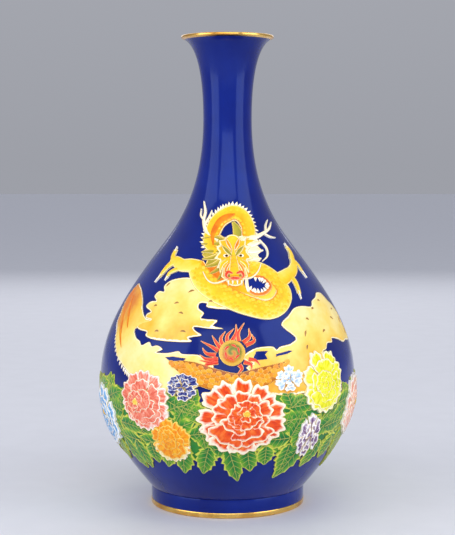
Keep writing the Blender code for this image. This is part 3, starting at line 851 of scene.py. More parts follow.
def core(relief, flower, shift, size, lift, slot):
    """A flower's yellow heart: a low mound with a knot of wire loops for its stamens."""
    centre, half = flower
    theta = np.linspace(0.0, math.tau, 20, endpoint=False)
    loop = (round_loop(20) * size * (1 + 0.1 * np.sin(5 * theta))[:, None] + shift) * half
    relief.cell(centre, loop, lift, dome=0.6, bevel=1.5, slot=slot, spacing=0.9, wire=0.14)
    for k in range(7):
        turn = math.tau * k / 7
        middle = np.array(shift) + 0.55 * size * np.array([math.cos(turn), math.sin(turn)])
        knot = (round_loop(10) * size * 0.22 + middle) * half
        relief.wires.append((on_wall(laid(centre, knot), (lift + 0.6) * MM), True, 0.1))


def flower_of(azimuth, height, width, tall):
    """A flower's place, and its half width and half height in mm."""
    return (azimuth, height), np.array([width / 2, tall / 2])


def peony(
    node, place, colours, slot, heart=(0.05, 0.08), heart_size=0.1, white=2.2, pointed=0.0, petals=7, base=1.7
):
    """A peony seen from a little above: a fan behind, a skirt below, a bowl in front, a curled middle.

    colours are the skirt's and the other petals' materials; petals is how many the fan has.
    """
    flower = flower_of(*place)
    relief = Relief(node + "_petals", *colours, "stamen")
    inner = len(colours) - 1
    between = RANDOM.uniform
    for k in range(petals):
        angle = -112 + 224.0 * (k + between(-0.2, 0.2)) / (petals - 1)
        length, width = between(0.62, 0.76), between(0.62, 0.80) * 7 / petals
        look = {"slot": inner, "white": white * 1.2, "ruffle": 0.08, "pointed": pointed}
        petal(relief, flower, angle, 0.28, length, width, base + 0.06 * (k % 3), **look)
    for k, angle in enumerate((124, 236, 152, 208, 180)):
        length, width = between(0.62, 0.72), between(0.74, 0.92)
        look = {"ruffles": 8, "ruffle": 0.08, "white": white * 1.3}
        petal(relief, flower, angle, 0.30, length, width, base + 0.05 + 0.06 * k, **look)
    for k in range(petals - 2):
        angle = -95 + 190.0 * (k + between(-0.2, 0.2)) / (petals - 3)
        length, width = between(0.46, 0.56), between(0.58, 0.76) * 7 / petals
        lift = base + 0.35 + 0.06 * (k % 3)
        petal(relief, flower, angle, 0.15, length, width, lift, slot=inner, white=white * 0.9)
    # The bowl's petals: root, length, width, and how far each pair opens from straight down.
    bowl = ((0.18, 0.62, 1.10, 32), (0.08, 0.54, 0.94, -14), (-0.02, 0.46, 0.84, 36), (-0.06, 0.34, 0.66, -8))
    for k, (root, length, width, turn) in enumerate(bowl):
        for way in (-1, 1) if turn > 0 else (1,):
            angle = 180 + way * (turn + between(-6, 6))
            lift = base + 0.55 + 0.16 * k + 0.06 * way
            petal(relief, flower, angle, root, length, width, lift, slot=inner, ruffles=8, white=white * 0.7)
    ring_of_petals(relief, flower, 5, 0.0, 0.34, 0.5, base + 1.05, slot=inner, white=white * 0.6)
    look = {"slot": inner, "white": white * 0.45, "shift": heart, "ruffle": 0.1}
    for count, root, length, width, lift in (
        (5, 0.08, 0.27, 0.46, base + 1.2),
        (3, 0.0, 0.20, 0.36, base + 1.35),
    ):
        ring_of_petals(relief, flower, count, root, length, width, lift, start=lift * 100, **look)
    if heart_size:
        core(relief, flower, heart, heart_size, base + 1.5, len(colours))
    relief.finish(node)


def small_flower(node, place, colour, white):
    """A loose flower of a few broad petals, without a yellow heart."""
    relief = Relief(node + "_petals", colour)
    look = {"white": white, "ruffle": 0.1}
    rings = ((6, 0.30, 0.72, 0.92), (5, 0.14, 0.58, 0.74), (3, 0.0, 0.42, 0.62))
    for k, (count, root, length, width) in enumerate(rings):
        lift = 1.7 + 0.25 * k
        ring_of_petals(relief, flower_of(*place), count, root, length, width, lift, start=k * 37, **look)
    relief.finish(node)


def flowers():
    """Every flower. A place is (degrees, mm, mm wide, mm tall), and a heart is (shift, size)."""
    peony("peony_red", (6, 88, 68, 59), ["red"], "petal_red", (0.1, 0.1), 0.09, white=3.4, petals=9)
    peony("peony_pink", (-37.5, 98, 46, 46), ["pink"], "petal_pink", (-0.3, -0.1), 0.12, white=1.7)
    mixed = ["cream", "orange"]
    peony("peony_orange", (-26, 68, 33, 39), mixed, "petal_orange", (0.0, 0.15), 0.0, white=1.2)
    narrow = {"white": 1.9, "pointed": 0.45, "petals": 6}
    peony("peony_yellow", (45.5, 110, 46, 50), ["yellow"], "petal_yellow", (-0.1, 0.0), 0.0, **narrow)
    peony("peony_blue", (-71, 78, 44, 50), ["sky"], "petal_blue", (0.1, 0.1), 0.1, white=3.0)
    peony("peony_salmon", (75, 85, 42, 52), ["salmon"], "petal_pink", (0.0, 0.1), 0.1, white=2.6)
    small_flower("flower_indigo", (-19, 110, 25, 20), "indigo", 1.1)
    small_flower("flower_pale_blue", (26.5, 115, 23, 19), "pale_blue", 2.2)
    small_flower("flower_violet", (39, 69, 20, 37), "violet", 2.4)
    peony("peony_back_white", (180, 86, 66, 56), ["pale_blue"], "petal_pale_blue", petals=9)
    peony("peony_back_red", (-122, 84, 52, 48), ["red"], "petal_red", (0.1, 0.1))
    peony("peony_back_yellow", (124, 84, 52, 48), ["yellow"], "petal_yellow", (0.0, 0.1))


# ---------------------------------------------------------------- clouds


def wall_loop(centre, points, steps=4):
    """A smooth closed outline through (degrees, mm) places, as local mm."""
    return local_mm(centre, places(smooth_loop(points, steps)))


# How the patches that stand for the blue ground are made: flat, and blue up to the edge.
FLAT = {"dome": 0.05, "bevel": 0.6, "edge_width": 0.01}


def window(relief, points, slot, centre=None):
    """A flat patch of blue ground with straight sides, where a gap in the gold shows it."""
    centre = centre or tuple(np.mean(points, axis=0))
    points = np.asarray(points, float)
    ahead = np.roll(points, -1, axis=0)
    share = np.linspace(0.0, 1.0, 5, endpoint=False)[None, :, None]
    sides = points[:, None] + (ahead - points)[:, None] * share
    loop = local_mm(centre, places(sides.reshape(-1, 2)))
    relief.cell(centre, loop, 0.98, **FLAT, slot=slot, spacing=1.4)


def cloud_shade(points):
    """Cream above, warming towards the lower edge."""
    return 1.0, np.clip(0.55 + (points[:, 1] + 4.0) / 90.0, 0.3, 0.85), None


def flecks(relief, spots, lift, slot):
    """Short tapered strokes laid on a cloud, each (degrees, mm, mm long, degrees of slope)."""
    for azimuth, height, length, slope in spots:
        radius = wall_radius(height * MM) / MM
        run = math.degrees(math.cos(math.radians(slope)) * length / 2 / radius)
        rise = math.sin(math.radians(slope)) * length / 2
        ends = (azimuth - run, height - rise, 0.4), (azimuth + run, height + rise, 0.4)
        stroke = [ends[0], (azimuth, height + 0.6, 1.8), ends[1]]
        relief.strip(stroke, lift, 0.25, edge_width=0.3, tones=(0.1, 0.5), slot=slot, across=5, wire=0)


def left_cloud():
    """The cloud at the left: scalloped on its left, with fingers that point right."""
    relief = Relief("cloud_left_body", "cloud", "mark")
    centre = (-27, 164)
    outline = [
        (-13, 184), (-19, 188), (-26, 189), (-33, 188), (-38, 186), (-41, 182), (-39, 178), (-43, 178),
        (-45, 174), (-42, 171), (-46, 170), (-48, 166), (-43, 163), (-45, 161), (-45, 158), (-41, 157),
        (-46, 155), (-49, 151), (-46, 149), (-41, 148), (-41, 145), (-34, 143), (-17, 143), (-18, 146),
        (-12, 148), (-15, 151), (-16, 154), (-9, 153), (-2, 153), (-7, 155), (-5, 159), (-13, 160),
        (-12, 164), (-15, 167), (-15, 171), (-11, 171), (-10, 168), (4, 167), (-4, 172), (-8, 178),
    ]
    look = {"dome": 0.7, "bevel": 2.6, "edge_width": 2.0, "spacing": 2.0, "wire": 0.18}
    relief.cell(centre, wall_loop(centre, outline, 3), 0.3, shade=cloud_shade, **look)
    flecks(relief, [(-21, 179, 5, 20), (-28, 170, 4, 10), (-9, 172, 3, 0), (-24, 163, 4, -10)], 1.0, 1)
    flecks(relief, [(-38, 183, 4, 50), (-41, 167, 3, 10), (-21, 150, 5, -5), (-35, 149, 4, 5)], 1.0, 1)
    relief.finish("cloud_left")


def right_cloud():
    """The cloud at the right, and the ragged stems that run from its foot to the pearl."""
    relief = Relief("cloud_right_body", "cloud", "ground", "mark")
    centre = (46, 142)
    outline = [
        (68, 174), (72, 168), (75, 165), (79, 158), (78, 150), (80, 142), (79, 136), (72, 137), (68, 136),
        (63, 139), (57, 141), (56, 138), (52, 138), (50, 134), (47, 132), (47, 124), (48, 116), (42, 107),
        (30, 103), (18, 105), (11, 113), (10, 121), (8, 125), (11, 128), (7, 131), (8, 135), (13, 139),
        (20, 139.5), (22, 137), (24, 139), (28, 140), (30, 141), (33, 144), (31, 148), (28, 152), (27, 156),
        (32, 161), (37, 166), (43, 167), (50, 166), (53, 170), (58, 172), (62, 175),
    ]
    look = {"dome": 0.65, "bevel": 2.6, "edge_width": 1.8, "spacing": 2.2, "wire": 0.18}
    relief.cell(centre, wall_loop(centre, outline, 3), 0.25, shade=cloud_shade, **look)
    window(relief, [(11, 132), (12.5, 136.5), (18, 136.5), (16.5, 134), (17.5, 130.5), (12.5, 130)], 1)
    window(relief, [(21, 132), (21.5, 134), (28, 136), (30, 135.5), (27, 133.5)], 1)
    strokes = [
        (39, 147, 5, 60), (50, 164, 3, 10), (59, 169, 3, -10), (52, 147, 4, 20), (70, 161, 3, 0),
        (74, 152, 5, 75), (76, 143, 5, 80), (43, 157, 3, -20), (64, 155, 4, -30), (38, 137, 4, 60),
    ]
    flecks(relief, strokes, 1.0, 2)
    relief.finish("cloud_right")


# ---------------------------------------------------------------- the dragon


def across_path(path, t, side):
    """The (degrees, mm) place at a share t of a smooth ribbon path, and so far to its right."""
    index = min(int(t * (len(path) - 1)), len(path) - 2)
    spot = path[index] + (path[index + 1] - path[index]) * (t * (len(path) - 1) - index)
    radius = wall_radius(spot[1] * MM) / MM
    run = math.radians(path[index + 1][0] - path[index][0]) * radius
    rise = path[index + 1][1] - path[index][1]
    length = math.hypot(run, rise) + 1e-9
    reach = side * spot[2] / 2
    heading = math.degrees(math.atan2(run, rise))
    return (spot[0] + math.degrees(rise / length * reach / radius), spot[1] - run / length * reach), heading


def path_length(path):
    """The length in mm of a path of (degrees, mm) places."""
    radius = wall_radius(path[:, 1] * MM) / MM
    return np.hypot(np.diff(np.radians(path[:, 0])) * radius[1:], np.diff(path[:, 1])).sum()


def scales(relief, ribbon, size, lift, spread, wire):
    """Rows of round overlapping scales down a ribbon."""
    path = smooth_path(ribbon)
    rows = int(path_length(path) / (size * 0.8))
    theta = np.linspace(0.0, math.tau, 12, endpoint=False)
    disc = np.stack([np.sin(theta), np.cos(theta)], -1) * size * np.array([0.52, 0.62])
    look = {"dome": 0.3, "bevel": 0.8, "edge_width": 0.45, "spacing": 1.2, "wire": wire}
    for row in range(rows):
        t = (row + 0.5) / rows
        width = np.interp(t, np.linspace(0, 1, len(path)), path[:, 2]) * spread
        count = max(1, int(width / size))
        for k in range(count):
            side = ((k + 0.5 + 0.5 * (row % 2)) / (count + 0.5) * 2 - 1) * spread
            place, heading = across_path(path, t, side)
            turn = math.radians(heading)
            twist = np.array([[math.cos(turn), -math.sin(turn)], [math.sin(turn), math.cos(turn)]])
            rise = lift + 0.25 * math.sqrt(max(0.0, 1 - side * side)) + 0.06 * (row % 2)
            tone = 0.5 + 0.25 * ((row * 7 + k * 3) % 5) / 5

            def shade(points, tone=tone):
                return 0.6, tone + 0 * points[:, 0], None

            relief.cell(place, (disc @ twist)[::-1], rise, shade=shade, **look)


def fins(relief, ribbon, side, count, length, width, lift, first, last, lean=0.5):
    """A row of pointed fins that stand out from one side of a ribbon."""
    path = smooth_path(ribbon)
    for k in range(count):
        t = first + (last - first) * k / (count - 1)
        place, heading = across_path(path, t, side * 0.9)
        outwards = math.radians(heading + 90.0 * side * (1.0 - 0.35 * lean))
        along = np.array([math.sin(outwards), math.cos(outwards)])
        across = np.array([along[1], -along[0]])
        reach = length * RANDOM.uniform(0.8, 1.15)
        # Each corner's share of the fin's reach and of its width, and then its root under the ribbon.
        corners = [(0, -0.5), (0.5, -0.3), (1, 0), (0.45, 0.35), (0, 0.5)]
        loop = [along * reach * out + across * width * over for out, over in corners]
        loop = np.array([*loop, along * -0.8])
        relief.cell(place, loop, lift, dome=0.35, bevel=0.5, edge_width=0.8, slot=1, spacing=1.2, wire=0.1)


# The dragon's ribbons, as (degrees, mm, mm wide) from one end to the other.
NECK = [
    (-8, 209, 9), (-15, 215, 11), (-15, 223, 13), (-11, 231, 13.5), (-2, 236, 13.5), (9, 238, 13.5),
    (18, 235, 13), (22, 228, 12), (20, 220, 11), (15, 213, 10),
]
BODY = [
    (-23, 199, 13), (-15, 188, 18), (-6, 180, 19), (3, 174, 18), (12, 169, 17), (21, 166, 16),
    (29, 170, 15), (34, 179, 14), (30, 189, 14), (22, 195, 14), (12, 197, 13),
]
TAIL = [
    (-25, 127, 2), (-20, 125, 9), (-14, 121, 15), (-5, 116, 16), (4, 113, 16), (13, 117, 15),
    (21, 122, 10), (27, 128, 2),
]
HOLE_RIM = [(12, 180, 3), (16, 177, 3), (22, 178, 3.2), (26, 183, 3), (23, 189, 3), (17, 190, 2.4)]


def dragon_neck():
    """The arched loop of the neck, crested outside and olive inside."""
    relief = Relief("dragon_neck_arch", "dragon", "fin", "belly")
    fins(relief, NECK, -1, 34, 3.6, 2.6, 0.5, 0.08, 0.97)
    relief.strip(NECK, 0.7, 0.9, edge_width=0.9, tones=(0.75, 0.1), across=11)
    belly = [(9, 213, 7), (10, 221, 7.5), (9, 227, 5.5), (6, 231, 2)]
    relief.strip(belly, 0.55, 0.5, tones=(0.8, 0.2), slot=2)
    shadow = [(-12, 213, 1), (-14, 222, 4), (-9, 231, 5), (0, 235, 5), (9, 237, 1)]
    relief.strip(shadow, 1.5, 0.3, edge_width=0, tones=(0, 0.1), wire=0)
    scales(relief, NECK, 2.6, 1.0, 0.74, 0.05)
    relief.finish("dragon_neck")


def dragon_body():
    """The lower coil, a scaled ribbon over a bed, with a finned hole."""
    relief = Relief("dragon_body_coil", "dragon", "fin", "rust")
    centre = (10, 187)
    curl = [(-15, 200), (-10, 190), (0, 182), (12, 176), (22, 173), (29, 178), (30, 187), (22, 195), (8, 201)]

    def shade(points):
        return 1.0, np.clip(0.4 + points[:, 0] / 60.0, 0.0, 1.0), None

    relief.cell(centre, wall_loop(centre, curl), 0.5, dome=0.7, bevel=2.0, shade=shade, spacing=2.0, wire=0)
    relief.strip(BODY, 0.6, 1.0, edge_width=1.0, tones=(0.15, 0.95), across=13)
    scales(relief, BODY, 2.9, 1.05, 0.74, 0.05)
    relief.strip(HOLE_RIM, 1.1, 0.5, tones=(0.3, 0.7), slot=2)
    relief.strip([(12, 189, 2.0), (11.5, 184, 2.6), (12, 179, 2.0)], 1.3, 0.5, slot=1)
    fins(relief, HOLE_RIM, -1, 13, 3.4, 2.4, 1.5, 0.02, 0.98, 0.0)
    relief.finish("dragon_body")
    blue_islands()


def blue_islands():
    """The ground seen through the dragon's two loops."""
    coil = [(10, 187), (12, 189), (18, 189), (23, 187), (24, 182), (21, 178), (15, 178), (11, 180)]
    neck = [(-8, 213), (10, 213), (12, 223), (9, 231), (3, 231.5), (-3, 229), (-7, 222)]
    for name, node, outline, lift in (
        ("coil_hole_ground", "coil_ground", coil, 1.28),
        ("neck_hole_ground", "neck_loop_ground", neck, 0.3),
    ):
        relief = Relief(name, "ground")
        centre = tuple(np.mean(outline, axis=0))
        relief.cell(centre, wall_loop(centre, outline), lift, **FLAT, spacing=1.6)
        relief.finish(node)


def claw(relief, path, lift):
    """A digit that ends in a pale hooked nail."""
    relief.strip(path, lift, 0.7, edge_width=0.8, tones=(0.9, 0.5), across=7)
    before, last = (np.array(spot[:2], float) for spot in path[-2:])
    way = last - before
    nail = [(*(last - way / 4), 2.6), (*last, 1.8), (*(last + way / 2), 0.4)]
    relief.strip(nail, lift + 0.2, 0.6, slot=1, across=5)


# Each arm's limb, its tone at the far side, and its digits with their lifts.
ARMS = {
    "left": (
        [(-20, 197, 12), (-27, 198, 12), (-34, 198, 11), (-41, 201, 8), (-46, 201, 5)],
        0.6,
        [
            ([(-42, 201, 5), (-46, 204, 4.4), (-47, 209, 3.4)], 0.85),
            ([(-42, 200, 6), (-46, 196, 5), (-49, 188, 2.5)], 0.9),
            ([(-36, 195, 4), (-41, 192, 3.4), (-42, 188, 1.8)], 0.8),
        ],
    ),
    "right": (
        [(35, 187, 13), (42, 190, 11), (49, 193, 9), (55, 198, 7), (58, 204, 5)],
        0.5,
        [
            ([(56, 201, 6), (60, 206, 5), (60, 211, 3.6)], 0.85),
            ([(55, 201, 5), (59, 197, 4), (60, 190, 2)], 0.9),
            ([(44, 191, 6), (46, 184, 5), (45, 176, 3.6)], 0.8),
        ],
    ),
}


def dragon_arms():
    """The two arms, each a limb that ends in three digits."""
    for side, (limb, far_tone, digits) in ARMS.items():
        relief = Relief(f"dragon_{side}_arm_limb", "dragon", "fin")
        relief.strip(limb, 0.75, 0.9, tones=(0.95, far_tone))
        for digit, lift in digits:
            claw(relief, digit, lift)
        relief.finish(f"dragon_{side}_arm")


def strand(relief, path, lift, slot, tones=(0.2, 0.9)):
    """A thin tapering band of hair, whisker or horn."""
    relief.strip(path, lift, 0.5, edge_width=0.5, tones=tones, slot=slot, across=5, wire=0.1)


def oval(width, tall, points=20):
    """An ellipse in local mm."""
    return round_loop(points) * np.array([width / 2, tall / 2])


# The beds under the mane and its strands, each strand (root, middle, tip, mm wide).
LEFT_MANE_BED = [
    (-2, 219), (-13, 220), (-20, 216), (-18, 211), (-20, 206), (-15, 202), (-16, 197), (-9, 195),
    (-7, 189), (0, 194),
]
RIGHT_MANE_BED = [
    (11, 219), (21, 220), (29, 217), (26, 213), (29, 209), (24, 206), (25, 202), (18, 200), (11, 200),
]
MANE_STRANDS = [
    ((-2, 216), (-12, 219), (-24, 218), 6),
    ((-3, 213), (-13, 214), (-23, 214), 6),
    ((-3, 210), (-12, 209), (-21, 208), 6),
    ((-3, 207), (-11, 204), (-19, 203), 5.5),
    ((-2, 204), (-9, 199), (-17, 197), 5.5),
    ((-1, 201), (-7, 195), (-13, 191), 5),
    ((0, 198), (-4, 191), (-7, 186), 4.5),
    ((11, 217), (20, 219), (32, 220), 6.5),
    ((12, 213), (22, 214), (31, 215), 6.5),
    ((12, 210), (21, 209), (30, 209), 6.5),
    ((11, 206), (19, 204), (26, 203), 6),
    ((11, 202), (17, 199), (22, 196), 5),
]


def dragon_mane(relief):
    """Olive strands to the left of the face, and pale ones to its right, each over a bed."""
    for bed, slot in ((LEFT_MANE_BED, 2), (RIGHT_MANE_BED, 1)):
        middle = tuple(np.mean(bed, axis=0))
        relief.cell(middle, wall_loop(middle, bed, 2), 0.6, edge_width=0.8, slot=slot)
    for root, middle, tip, width in MANE_STRANDS:
        slot = 2 if tip[0] < 0 else 1
        path = [(*root, width), (*middle, width * 0.8), (*tip, 0.7)]
        strand(relief, path, 0.9 + 0.03 * abs(middle[1] - 190) / 4, slot, tones=(0.1, 0.9))


def dragon_face(relief):
    """The head seen from above its brow: snout down, with brows, cheeks and nostrils in pairs."""
    middle = 4.5
    for side in (-1, 1):

        def row(*spots):
            """Mirrored (mm across, mm high, mm wide) spots as a path."""
            return [(middle + side * across, height, width) for across, height, width in spots]

        brow = row((1.5, 204.5, 1.8), (5, 208.5, 3.6), (9.5, 212.5, 0.7))
        relief.strip(brow, 2.3, 0.8, tones=(0.1, 0.6), slot=2)
        crest = row((1.2, 209, 1.6), (3.8, 213.5, 3.0), (6.5, 218.5, 0.6))
        relief.strip(crest, 2.2, 0.8, tones=(0.0, 0.3))
        eye, pupil = (middle + side * 5.6, 204.8), (middle + side * 5.2, 204.6)
        relief.cell(eye, oval(4.4, 3.2), 2.2, dome=0.7, bevel=1.2, slot=1, spacing=0.9)
        relief.cell(pupil, oval(2.2, 2.2), 2.6, dome=0.5, bevel=0.6, slot=4, spacing=0.7)
        cheek = row((5.0, 201.5, 2.8), (8.4, 198.5, 3.4), (9.2, 192.5, 0.8))
        relief.strip(cheek, 2.0, 0.7, tones=(0.2, 0.8))
        fold = row((3.6, 199, 2.2), (5.6, 195, 2.6), (6.4, 189, 0.8))
        relief.strip(fold, 2.1, 0.7, tones=(0.0, 0.2))
        curl = row((1.2, 191.5, 2.0), (4.2, 192.6, 3.0), (5.4, 189.6, 2.2), (3.4, 187.8, 1.4))
        relief.strip(curl, 2.6, 0.8, tones=(0.2, 0.7), slot=3)
        nostril = (middle + side * 3.4, 190.2)
        relief.cell(nostril, oval(1.6, 1.3, 12), 3.1, dome=0.3, bevel=0.4, slot=4, spacing=0.6)
        for tooth in (1.4, 4.0):
            relief.strip(row((tooth, 186.6, 1.6), (tooth, 183.6, 0.4)), 2.4, 0.5, slot=1, across=5)
    snout = [(middle, 209, 2.5), (middle, 202, 5.5), (middle, 196, 7.5), (middle, 190, 9.0)]
    relief.strip(snout, 2.0, 1.2, tones=(0.5, 0.5), across=9)
    for height in (197.0, 199.5, 202.0, 204.5):
        relief.line([(middle - 2.4, height - 0.8), (middle, height), (middle + 2.4, height - 0.8)], 3.2, 0.16)
    relief.cell((middle, 188.0), oval(8.6, 3.4), 2.5, dome=1.0, bevel=1.6, slot=3, spacing=1.0)


WHISKERS = [
    [(0, 188, 1.2), (-7, 185, 1.2), (-12, 187, 1.0), (-16, 193, 0.6)],
    [(9, 188, 1.2), (15, 189, 1.2), (20, 193, 1.0), (24, 199, 0.6)],
]
ANTLERS = [
    [(-8, 217, 3.8), (-16, 220, 3.2), (-23, 225, 2.8), (-28, 232, 2.4), (-29, 239, 2.0), (-35, 247, 0.7)],
    [(-26, 229, 2.2), (-23, 233, 1.8), (-20, 240, 0.6)],
    [(-29, 233, 1.8), (-34, 236, 1.4), (-36, 241, 0.6)],
    [(17, 217, 4.4), (27, 219, 3.6), (38, 222, 2.6), (48, 225, 2.0), (58, 230, 0.7)],
    [(38, 222, 2.0), (44, 219, 1.6), (51, 218, 0.6)],
    [(42, 223, 1.9), (46, 228, 1.5), (53, 232, 0.6)],
    [(30, 217, 1.8), (34, 211, 1.6), (32, 205, 1.4), (26, 201, 0.6)],
]


def dragon_head():
    """The head: mane, skull, face, whiskers and antlers, from the wall outwards."""
    relief = Relief("dragon_head_face", "dragon", "fin", "mane", "flame", "eye")
    dragon_mane(relief)
    skull = [
        (4.5, 221), (9, 220), (13, 217), (18, 220), (15.5, 213), (20, 212), (15.5, 208), (19, 203),
        (14.5, 202), (16.5, 196), (12.5, 196), (13, 190), (10.5, 188), (8, 184), (4.5, 183), (1, 184),
        (-1.5, 188), (-4, 190), (-3.5, 196), (-7.5, 196), (-5.5, 202), (-10, 203), (-6.5, 208),
        (-11, 212), (-6.5, 213), (-9, 220), (-4, 217), (0, 220),
    ]
    centre = (4.5, 202)

    def shade(points):
        return 1.0, np.clip(0.66 - np.abs(points[:, 0]) / 40.0, 0.0, 1.0), None

    look = {"dome": 1.0, "bevel": 4.0, "edge_width": 0.7, "spacing": 1.6}
    relief.cell(centre, wall_loop(centre, skull, 2), 1.2, shade=shade, **look)
    dragon_face(relief)
    for paths, lift in ((WHISKERS, 1.9), (ANTLERS, 1.1)):
        for path in paths:
            strand(relief, path, lift, 1)
    relief.finish("dragon_head")


def dragon_tail():
    """The band of large scales under the pearl."""
    relief = Relief("dragon_tail_band", "scale")
    relief.strip(TAIL, 0.8, 0.8, edge_width=0.8, tones=(0.0, 0.3), across=11)
    scales(relief, TAIL, 3.7, 1.15, 0.88, 0.12)
    relief.finish("dragon_tail")


def dragon_hind_body():
    """The column at the left: an orange back with a fringe of fins, and a ragged stem to the pearl."""
    relief = Relief("dragon_hind_body_column", "cloud", "fin", "ground", "dragon")
    centre = (-50, 142)
    outline = [
        (-71, 181), (-75, 174), (-75, 166), (-72, 158), (-71, 152), (-67, 146), (-65, 140), (-62, 134),
        (-58, 127), (-53, 122), (-47, 116), (-40, 109), (-30, 104), (-20, 105), (-12, 111), (-9, 118),
        (-6, 124), (-7, 129), (-10, 131), (-13, 134), (-20, 134), (-22, 136), (-27, 134), (-33, 134),
        (-30, 136.5), (-33, 139), (-36, 138), (-38, 141), (-42, 138), (-44, 141), (-47, 143), (-50, 149),
        (-45, 151), (-39, 152), (-38, 157), (-45, 158), (-50, 164), (-54, 171), (-60, 177), (-66, 180),
    ]

    def shade(points):
        tone = np.clip(0.62 - points[:, 1] / 70.0 + (points[:, 0] + 12.0) / 60.0, 0.1, 0.9)
        return 1.0, tone, None

    look = {"dome": 0.6, "bevel": 2.6, "edge_width": 1.4, "spacing": 2.2, "wire": 0.18}
    relief.cell(centre, wall_loop(centre, outline, 3), 0.25, shade=shade, **look)
    window(relief, [(-28, 131), (-24, 132), (-18, 131), (-19, 129), (-25, 128)], 2, centre=(-23, 130))
    back = [(-74, 172), (-74, 166), (-71, 158), (-70, 152), (-66, 146), (-61, 134), (-52, 121), (-46, 115)]
    fins(relief, [(*spot, 1) for spot in back], 1, 34, 3.4, 2.6, 0.3, 0.0, 1.0)
    for path in (
        [(-71, 178, 3), (-72, 170, 8), (-69, 160, 7), (-64, 151, 5), (-60, 142, 3), (-56, 134, 0.6)],
        [(-66, 172, 1), (-64, 165, 4), (-60, 157, 4), (-56, 149, 0.6)],
    ):
        relief.strip(path, 0.8, 0.35, edge_width=0, tones=(0.0, 0.25), slot=3, across=7, wire=0)
    relief.finish("dragon_hind_body")


# ---------------------------------------------------------------- the flaming pearl


PEARL_PLACE = (2, 135.5)
# The tongues of flame in each group: the root, middle and tip of each as (degrees, mm).
FLAMES = {
    "left": [
        ((-4, 129), (-9, 127), (-8, 124)),
        ((-4, 131), (-9, 131), (-12, 134)),
        ((-5, 134), (-9, 135), (-11, 139)),
        ((-4, 137), (-7, 140), (-12, 144)),
        ((-3, 139), (-5, 143), (-7, 148)),
        ((-5, 133), (-7, 129), (-12, 130)),
    ],
    "top": [
        ((-2, 141), (-3, 146), (-1, 151)),
        ((0, 143), (0, 148), (3, 153)),
        ((2, 144), (4, 150), (4, 156)),
        ((5, 144), (5, 150), (8, 157)),
        ((7, 143), (10, 147), (10, 153)),
        ((8, 141), (12, 144), (11, 149)),
        ((7, 129), (10, 127), (10, 123)),
        ((5, 127), (6, 124), (4, 120)),
        ((9, 131), (12, 130), (14, 126)),
    ],
}


def flaming_pearl():
    """The pearl, a dome with a swirl in its enamel, and the flames round it."""
    relief = Relief("flaming_pearl_dome", "pearl", "flame")

    def shade(points):
        swirl = np.arctan2(points[:, 1], points[:, 0]) * 0.5 + np.hypot(*points.T) * 0.5
        return 1.0, 0.5 + 0.5 * np.sin(swirl * 2), None

    look = {"dome": 1.8, "bevel": 9.0, "edge_width": 0.8, "spacing": 1.0}
    relief.cell(PEARL_PLACE, oval(19.2, 19.2, 40), 0.7, shade=shade, **look)
    for turn in (20, 75, 140, 200, 260, 320):
        way = np.array([[math.cos(math.radians(turn)), math.sin(math.radians(turn))]])
        spot = laid(PEARL_PLACE, way * 5.0)[0]
        flecks(relief, [(math.degrees(spot[0]), spot[1] / MM, 5.0, turn + 80)], 2.2, 1)
    relief.finish("flaming_pearl")
    for name, tongues in FLAMES.items():
        relief = Relief(f"pearl_flame_{name}_tongues", "flame")
        for k, (root, middle, tip) in enumerate(tongues):
            path = [(*root, 3.4), (*middle, 2.3), (*tip, 0.5)]
            lift = 0.55 + 0.05 * (k % 3)
            relief.strip(path, lift, 0.7, edge_width=0.7, tones=(0.0, 0.8), across=7, wire=0.12)
        relief.finish("pearl_flame_" + name)


# ---------------------------------------------------------------- stage, light and camera


# Where the camera stands and how far it looks down, and the strengths of the lights in watts.
LENS = 92.5
CAMERA_DISTANCE, CAMERA_HEIGHT = 2.95 * HEIGHT, 0.73 * HEIGHT
CAMERA_TILT = math.radians(4.33)
SIDE_POWER, FRONT_POWER, BACK_POWER = 15.0, 24.0, 10.0
HORIZON, OVERHEAD = (0.34, 0.35, 0.39, 1.0), (0.58, 0.60, 0.66, 1.0)
FLOOR_SIZE = 30.0 * HEIGHT
FLOOR_CLEARANCE = 0.0002


def area_light(name, place, aim, width, tall, power):
    """A rectangular softbox that faces a point."""
    light = bpy.data.lights.new(name, "AREA")
    light.shape = "RECTANGLE"
    light.size, light.size_y = width, tall
    light.energy = power
    obj = bpy.data.objects.new(name, light)
    obj.location = place
    obj.rotation_euler = (Vector(aim) - Vector(place)).to_track_quat("-Z", "Y").to_euler()
    bpy.context.scene.collection.objects.link(obj)


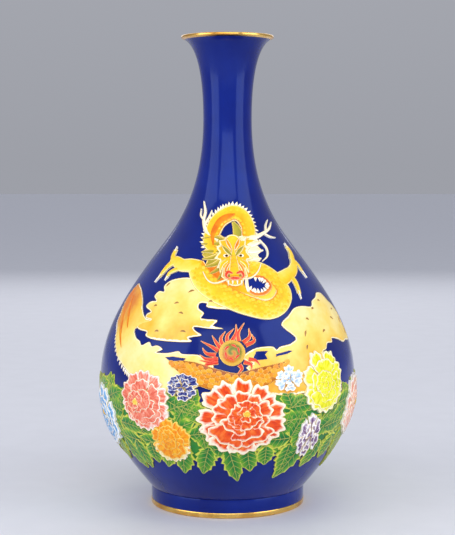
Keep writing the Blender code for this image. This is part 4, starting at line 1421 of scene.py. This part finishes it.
def stage():
    """The plain pale floor."""
    mesh = bpy.data.meshes.new("floor")
    bm = bmesh.new()
    bmesh.ops.create_grid(bm, x_segments=8, y_segments=8, size=FLOOR_SIZE)
    bm.to_mesh(mesh)
    bm.free()
    floor = bpy.data.objects.new("floor", mesh)
    floor.location.z = CAD_LOW.z - FLOOR_CLEARANCE
    bpy.context.scene.collection.objects.link(floor)
    nodes = Nodes("floor_paper", 0.7)
    grain = nodes.noise(nodes.position(), 30.0)
    paper = nodes.ramp(grain, [(0.0, linear(212, 213, 220)), (1.0, linear(219, 220, 227))])
    mesh.materials.append(nodes.colour(paper))


def lights():
    """Two tall softboxes at the sides, dim fills in front and behind, and a sky paler overhead."""
    middle = (0.0, 0.0, HEIGHT * 0.5)
    reach = 3.6 * HEIGHT
    for name, x in (("left_box", -reach), ("right_box", reach)):
        place = (x, -0.6 * reach, 1.5 * HEIGHT)
        area_light(name, place, middle, 3.0 * HEIGHT, 5.0 * HEIGHT, SIDE_POWER)
    front, back = (0.0, -1.6 * reach, 3.4 * HEIGHT), (0.0, 1.4 * reach, 3.0 * HEIGHT)
    area_light("front_fill", front, middle, 6.0 * HEIGHT, 4.0 * HEIGHT, FRONT_POWER)
    area_light("back_fill", back, middle, 5.0 * HEIGHT, 3.0 * HEIGHT, BACK_POWER)
    world = bpy.data.worlds.new("studio")
    world.use_nodes = True
    tree = world.node_tree
    way = tree.nodes.new("ShaderNodeTexCoord")
    split = tree.nodes.new("ShaderNodeSeparateXYZ")
    ramp = tree.nodes.new("ShaderNodeValToRGB")
    for element, colour in zip(ramp.color_ramp.elements, (HORIZON, OVERHEAD)):
        element.color = colour
    tree.links.new(way.outputs["Generated"], split.inputs[0])
    tree.links.new(split.outputs["Z"], ramp.inputs["Fac"])
    tree.links.new(ramp.outputs["Color"], tree.nodes["Background"].inputs["Color"])
    bpy.context.scene.world = world
    bpy.context.scene.view_settings.view_transform = "Standard"


def camera():
    """A long lens about three heights away, level with the upper part of the shoulder."""
    data = bpy.data.cameras.new("camera")
    data.lens = LENS
    data.clip_end = 100.0
    obj = bpy.data.objects.new("camera", data)
    obj.location = (0.0, -CAMERA_DISTANCE, CAMERA_HEIGHT)
    obj.rotation_euler = (math.pi / 2 - CAMERA_TILT, 0.0, 0.0)
    bpy.context.scene.collection.objects.link(obj)
    bpy.context.scene.camera = obj


walls()
mouth_rim()
foot()
carried_over_nodes()
leaf_garland()
flowers()
left_cloud()
right_cloud()
dragon_tail()
dragon_hind_body()
dragon_body()
dragon_neck()
dragon_arms()
dragon_head()
flaming_pearl()
stage()
lights()
camera()
